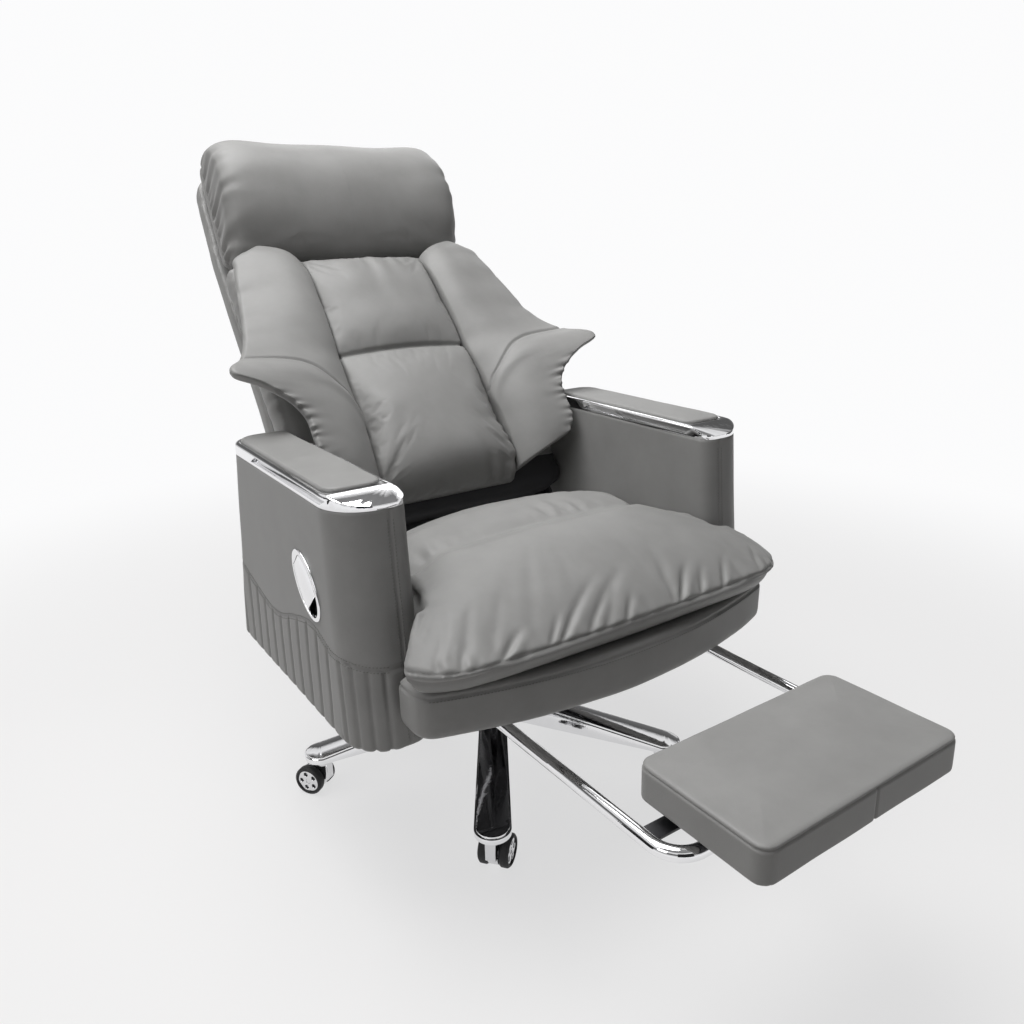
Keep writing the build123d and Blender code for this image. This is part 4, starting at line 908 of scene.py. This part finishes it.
for side_name, side in SIDES.items():
    heights = np.linspace(WING_S[0], WING_S[-1], WING_ROWS)
    reach = spline(WING_S, WING_REACH, heights)
    lift = spline(WING_S, WING_LIFT, heights)
    inner = spline(WING_S, WING_INNER, heights)
    loops = []
    for row, s in enumerate(heights):
        edge = panel_half(s) + 1.0
        floor = PAD_FRONT_N + 1.0
        tip = np.array((reach[row], floor + lift[row] + WING_EDGE))
        root = np.array((edge, floor + inner[row]))
        share = np.linspace(0, 1, WING_FACE)
        bow = (1 - (1 - share) ** 4) * (1 - share) * 30
        face_x = root[0] + share * (tip[0] - root[0])
        face_n = root[1] + share * (tip[1] - root[1]) + bow
        heel = np.array((reach[row] - 8, floor + lift[row] - 2))
        turn_share = np.linspace(0, math.pi, WING_HEM + 2)[1:-1]
        middle = (tip + heel) / 2
        outward = (tip - heel) / 2
        across = np.array((outward[1], -outward[0]))
        hem_x = middle[0] + outward[0] * np.cos(turn_share) + across[0] * np.sin(turn_share) * 0.9
        hem_n = middle[1] + outward[1] * np.cos(turn_share) + across[1] * np.sin(turn_share) * 0.9
        back_share = np.linspace(0, 1, WING_UNDER)
        under_x = heel[0] + back_share * (edge + 2 - heel[0])
        under_n = heel[1] + back_share**2 * (floor - heel[1])
        loop_x = np.concatenate((face_x, hem_x, under_x))
        loop_n = np.concatenate((face_n, hem_n, under_n))
        outness = (loop_x - edge) / (reach[row] - edge)
        slant = (outness - 0.5) * 30 * (1 - ramp(s, 80, 200))
        dome_top = np.sqrt(np.clip(outness, 0, 1)) - 0.75 - 0.4 * ramp(outness, 0.7, 1.05)
        slant += dome_top * 44 * ramp(s, 470, 588)
        loops.append(back_point(side * loop_x, s + slant, loop_n))
    wing = loft_mesh(f"wing_{side_name}_cover", np.array(loops))
    subdivide(wing)
    points = read_points(wing)
    px, ps, pn = back_coordinates(points)
    local = np.stack((px, ps, pn), axis=1)
    edge = panel_half(ps)
    out = spline(WING_S, WING_REACH, np.clip(ps, WING_S[0], WING_S[-1]))
    share = np.clip((np.abs(px) - edge) / (out - edge), 0, 1)
    facing = read_normals(wing) @ OFF_BACK
    front = ramp(pn, PAD_FRONT_N + 26, PAD_FRONT_N + 44) * ramp(facing, 0.0, 0.35)
    seam = -3.6 * groove((ps - wing_seam(share)) * 0.8, 2.4) * front
    swell = 3.5 * groove(ps - wing_seam(share) + 24, 20) * front
    from_edge = out - np.abs(px)
    hem = gathers(ps, from_edge, pitch=17, length=16, rise=6.0, seed=21 + side)
    hem *= (1 - ramp(ps, 236, 252)) * front
    shoulder = gathers(ps, from_edge, pitch=58, length=60, rise=1.8, seed=31 + side)
    shoulder *= ramp(ps, 330, 380) * front
    creases = waves(local, size=75, seed=23, stretch=(0.7, 1, 0.4)) * 2.6 * front
    displace(wing, seam + swell + hem + shoulder + creases)
    dress(wing, "back", [f"wing_{side_name}"])

# Arms: tight covers with a curved double seam, pleats below it and an upright front seam
ARM_SEAM_Y = np.array((-186.0, -122.0, -60.0, 23.0, 113.0, 235.0))
ARM_SEAM_Z = np.array((388.0, 404.0, 392.0, 368.0, 379.0, 420.0))
ARM_SEAM_MEAN_Z = 380.0
ARM_AROUND = 460
ARM_LEVELS = 92
PLEAT_DEPTH = 2.6


def rounded_outline(low, high, rounds, count):
    """Points round a rectangle whose corners, from (low x, low y) anticlockwise, have their own radii."""
    corners = [(low[0], low[1]), (high[0], low[1]), (high[0], high[1]), (low[0], high[1])]
    inward = [(1, 1), (-1, 1), (-1, -1), (1, -1)]
    path = []
    for k in range(4):
        centre = np.array(corners[k]) + np.array(inward[k]) * rounds[k]
        begin = math.pi + k * math.pi / 2
        for angle in np.linspace(begin, begin + math.pi / 2, 24):
            path.append(centre + rounds[k] * np.array((math.cos(angle), math.sin(angle))))
    path = np.array(path + path[:1])
    along = np.concatenate(([0], np.cumsum(np.linalg.norm(np.diff(path, axis=0), axis=1))))
    where = np.linspace(0, along[-1], count, endpoint=False)
    return np.stack([np.interp(where, along, path[:, axis]) for axis in range(2)], axis=1)


def arm_outline(z, inset, count=ARM_AROUND):
    """The left arm's outline at a height, drawn in by inset."""
    share = (z - ARM_BOTTOM) / (ARM_TOP - ARM_BOTTOM)
    front = ARM_FRONT[0] + share * (ARM_FRONT[1] - ARM_FRONT[0])
    rear = ARM_REAR[0] + share * (ARM_REAR[1] - ARM_REAR[0])
    corners = (ARM_INNER_ROUND, ARM_FRONT_ROUND, ARM_REAR_ROUND, ARM_INNER_ROUND)
    rounds = [max(2.0, r - inset) for r in corners]
    low = (ARM_INNER + inset, front + inset)
    high = (ARM_OUTER - inset, rear - inset)
    return rounded_outline(low, high, rounds, count)


def corner_arc(points):
    """Distance of the left arm's points round the front outer corner, from the straight side's end."""
    lean = (points[:, 2] - ARM_BOTTOM) / (ARM_TOP - ARM_BOTTOM) * (ARM_FRONT[1] - ARM_FRONT[0])
    centre_x = ARM_OUTER - ARM_FRONT_ROUND
    centre_y = ARM_FRONT[0] + ARM_FRONT_ROUND + lean
    angle = np.arctan2(centre_y - points[:, 1], points[:, 0] - centre_x)
    return np.clip(angle, 0, math.pi / 2) * ARM_FRONT_ROUND


def arm_seam_height(points):
    """Height of the curved seam beside each point of the left arm."""
    y = np.clip(points[:, 1], ARM_SEAM_Y[0], ARM_SEAM_Y[-1])
    return spline(ARM_SEAM_Y, ARM_SEAM_Z, y) - 10 * ramp(corner_arc(points), 0, 90)


CORNER_PLEATS = np.arange(11.0, 100.0, 22.0)
for side_name, side in SIDES.items():
    hem_turns = np.linspace(0, math.pi / 2, 7)
    loops = [
        (ARM_BOTTOM + ARM_HEM_ROUND * (1 - math.cos(a)), ARM_HEM_ROUND * (1 - math.sin(a)))
        for a in hem_turns
    ]
    loops += [(z, 0.0) for z in np.linspace(ARM_BOTTOM + ARM_HEM_ROUND, ARM_TOP - 2, ARM_LEVELS)[1:]]
    loops += [(ARM_TOP - 0.5, 1.0), (ARM_TOP - 0.3, 3.0)]
    shells = []
    for z, inset in loops:
        outline = arm_outline(z, inset)
        shells.append(np.column_stack((outline, np.full(len(outline), z))))
    arm = loft_mesh(f"arm_{side_name}_cover", np.array(shells))
    points = read_points(arm)
    normals = read_normals(arm)
    height = arm_seam_height(points)
    arc = corner_arc(points)
    flank = ramp(normals[:, 0], 0.2, 0.6)
    round_front = ramp(-normals[:, 1], 0.1, 0.35) * ramp(points[:, 0], 284, 296)
    below = ramp(height - points[:, 2], 0, 6)
    side_phase = (points[:, 1] - PLEAT_FIRST_Y) / PLEAT_PITCH
    side_gap = np.abs(side_phase - np.round(side_phase)) * PLEAT_PITCH
    on_side = flank * (arc < 1)
    corner_gap = np.min(np.abs(arc[:, None] - CORNER_PLEATS[None]), axis=1)
    in_corner = (arc >= 1) & (points[:, 0] > ARM_FRONT_SEAM_X - 6)
    gap = np.where(in_corner, corner_gap, side_gap)
    pleated = np.where(in_corner, 1.0, on_side) * below
    pleat = -PLEAT_DEPTH * groove(gap, 2.6) * pleated
    puff = 0.8 * np.clip(gap / 9, 0, 1) * pleated
    band = np.maximum(flank, round_front)
    curved = -1.5 * groove(points[:, 2] - height, 2.4) * band
    front_face = ramp(-normals[:, 1], 0.5, 0.8)
    upright = -1.5 * groove(points[:, 0] - ARM_FRONT_SEAM_X, 2.2) * front_face
    soft = waves(points, size=110, seed=31 + side) * 1.1
    moved = np.minimum(pleat + puff + curved + upright + soft, 1.6)
    if side_name == "right":
        away_y = points[:, 1] - HANDLE_Y
        away_z = points[:, 2] - HANDLE_Z
        along = away_y * math.cos(HANDLE_TILT) + away_z * math.sin(HANDLE_TILT)
        over = away_z * math.cos(HANDLE_TILT) - away_y * math.sin(HANDLE_TILT)
        oval = np.hypot(along / HANDLE_POCKET[0], over / HANDLE_POCKET[1])
        moved = moved * ramp(oval, 1.05, 1.6) * flank + moved * (1 - flank)
        moved = np.where((oval < 1) & (flank > 0.5), -HANDLE_POCKET_DEPTH, moved)
    displace(arm, moved)
    if side < 0:
        arm.data.transform(Matrix.Diagonal((-1, 1, 1, 1)))
        arm.data.flip_normals()
    dress(arm, "seat", [f"arm_panel_{side_name}"])
    flank_y = np.linspace(190, ARM_FRONT[0] + ARM_FRONT_ROUND + 14, 60)
    seam_path = [(ARM_OUTER, y, ARM_SEAM_MEAN_Z) for y in flank_y]
    for a in np.linspace(0, math.radians(80), 24):
        seam_path.append((
            ARM_OUTER - ARM_FRONT_ROUND * (1 - math.cos(a)),
            ARM_FRONT[0] + ARM_FRONT_ROUND * (1 - math.sin(a)) + 10,
            ARM_SEAM_MEAN_Z,
        ))
    seam_path = np.array(seam_path)
    seam_path[:, 2] = arm_seam_height(seam_path)
    rise = np.linspace(ARM_BOTTOM + 12, ARM_TOP - 14, 40)
    front_y = ARM_FRONT[0] + (rise - ARM_BOTTOM) / (ARM_TOP - ARM_BOTTOM) * (ARM_FRONT[1] - ARM_FRONT[0])
    for row, shift in (("upper", 4.0), ("lower", -4.0)):
        curve = (seam_path + (0, 0, shift)) * (side, 1, 1)
        stitches(f"arm_{side_name}_seam_{row}", curve, arm, "seat")
        seam_x = np.full(len(rise), side * (ARM_FRONT_SEAM_X + shift))
        straight = np.column_stack((seam_x, front_y, rise))
        stitches(f"arm_{side_name}_front_{row}", straight, arm, "seat")

    pad = remeshed(f"arm_{side_name}_pad_cover", f"arm_pad_{side_name}", voxel=3.0, relax=2)
    subdivide(pad)
    points = read_points(pad)
    displace(pad, waves(points, size=40, seed=37) * 0.5)
    dress(pad, "seat", [f"arm_pad_{side_name}"])

# Footrest pad: a firm box with a piped edge and a join in its front border
rest = remeshed("footrest_cover", "footrest_pad", voxel=3.0, relax=1)
subdivide(rest)
points = read_points(rest)
x, y, z = points.T
low, high = points.min(0), points.max(0)
rim = np.min([x - low[0], high[0] - x, y - low[1], high[1] - y], axis=0)
crown = 3.5 * ramp(rim, 4, 70) * (z > FOOT_SEAM_Z)
piping = -1.8 * groove(z - FOOT_SEAM_Z, 1.6) * (rim < 14)
join = -1.8 * groove(x - 8, 1.8) * ramp(-y, 735, 742) * (z < FOOT_SEAM_Z)
displace(rest, crown + piping + join + waves(points, size=70, seed=41) * 0.7)
dress(rest, "footrest", ["footrest_pad"])
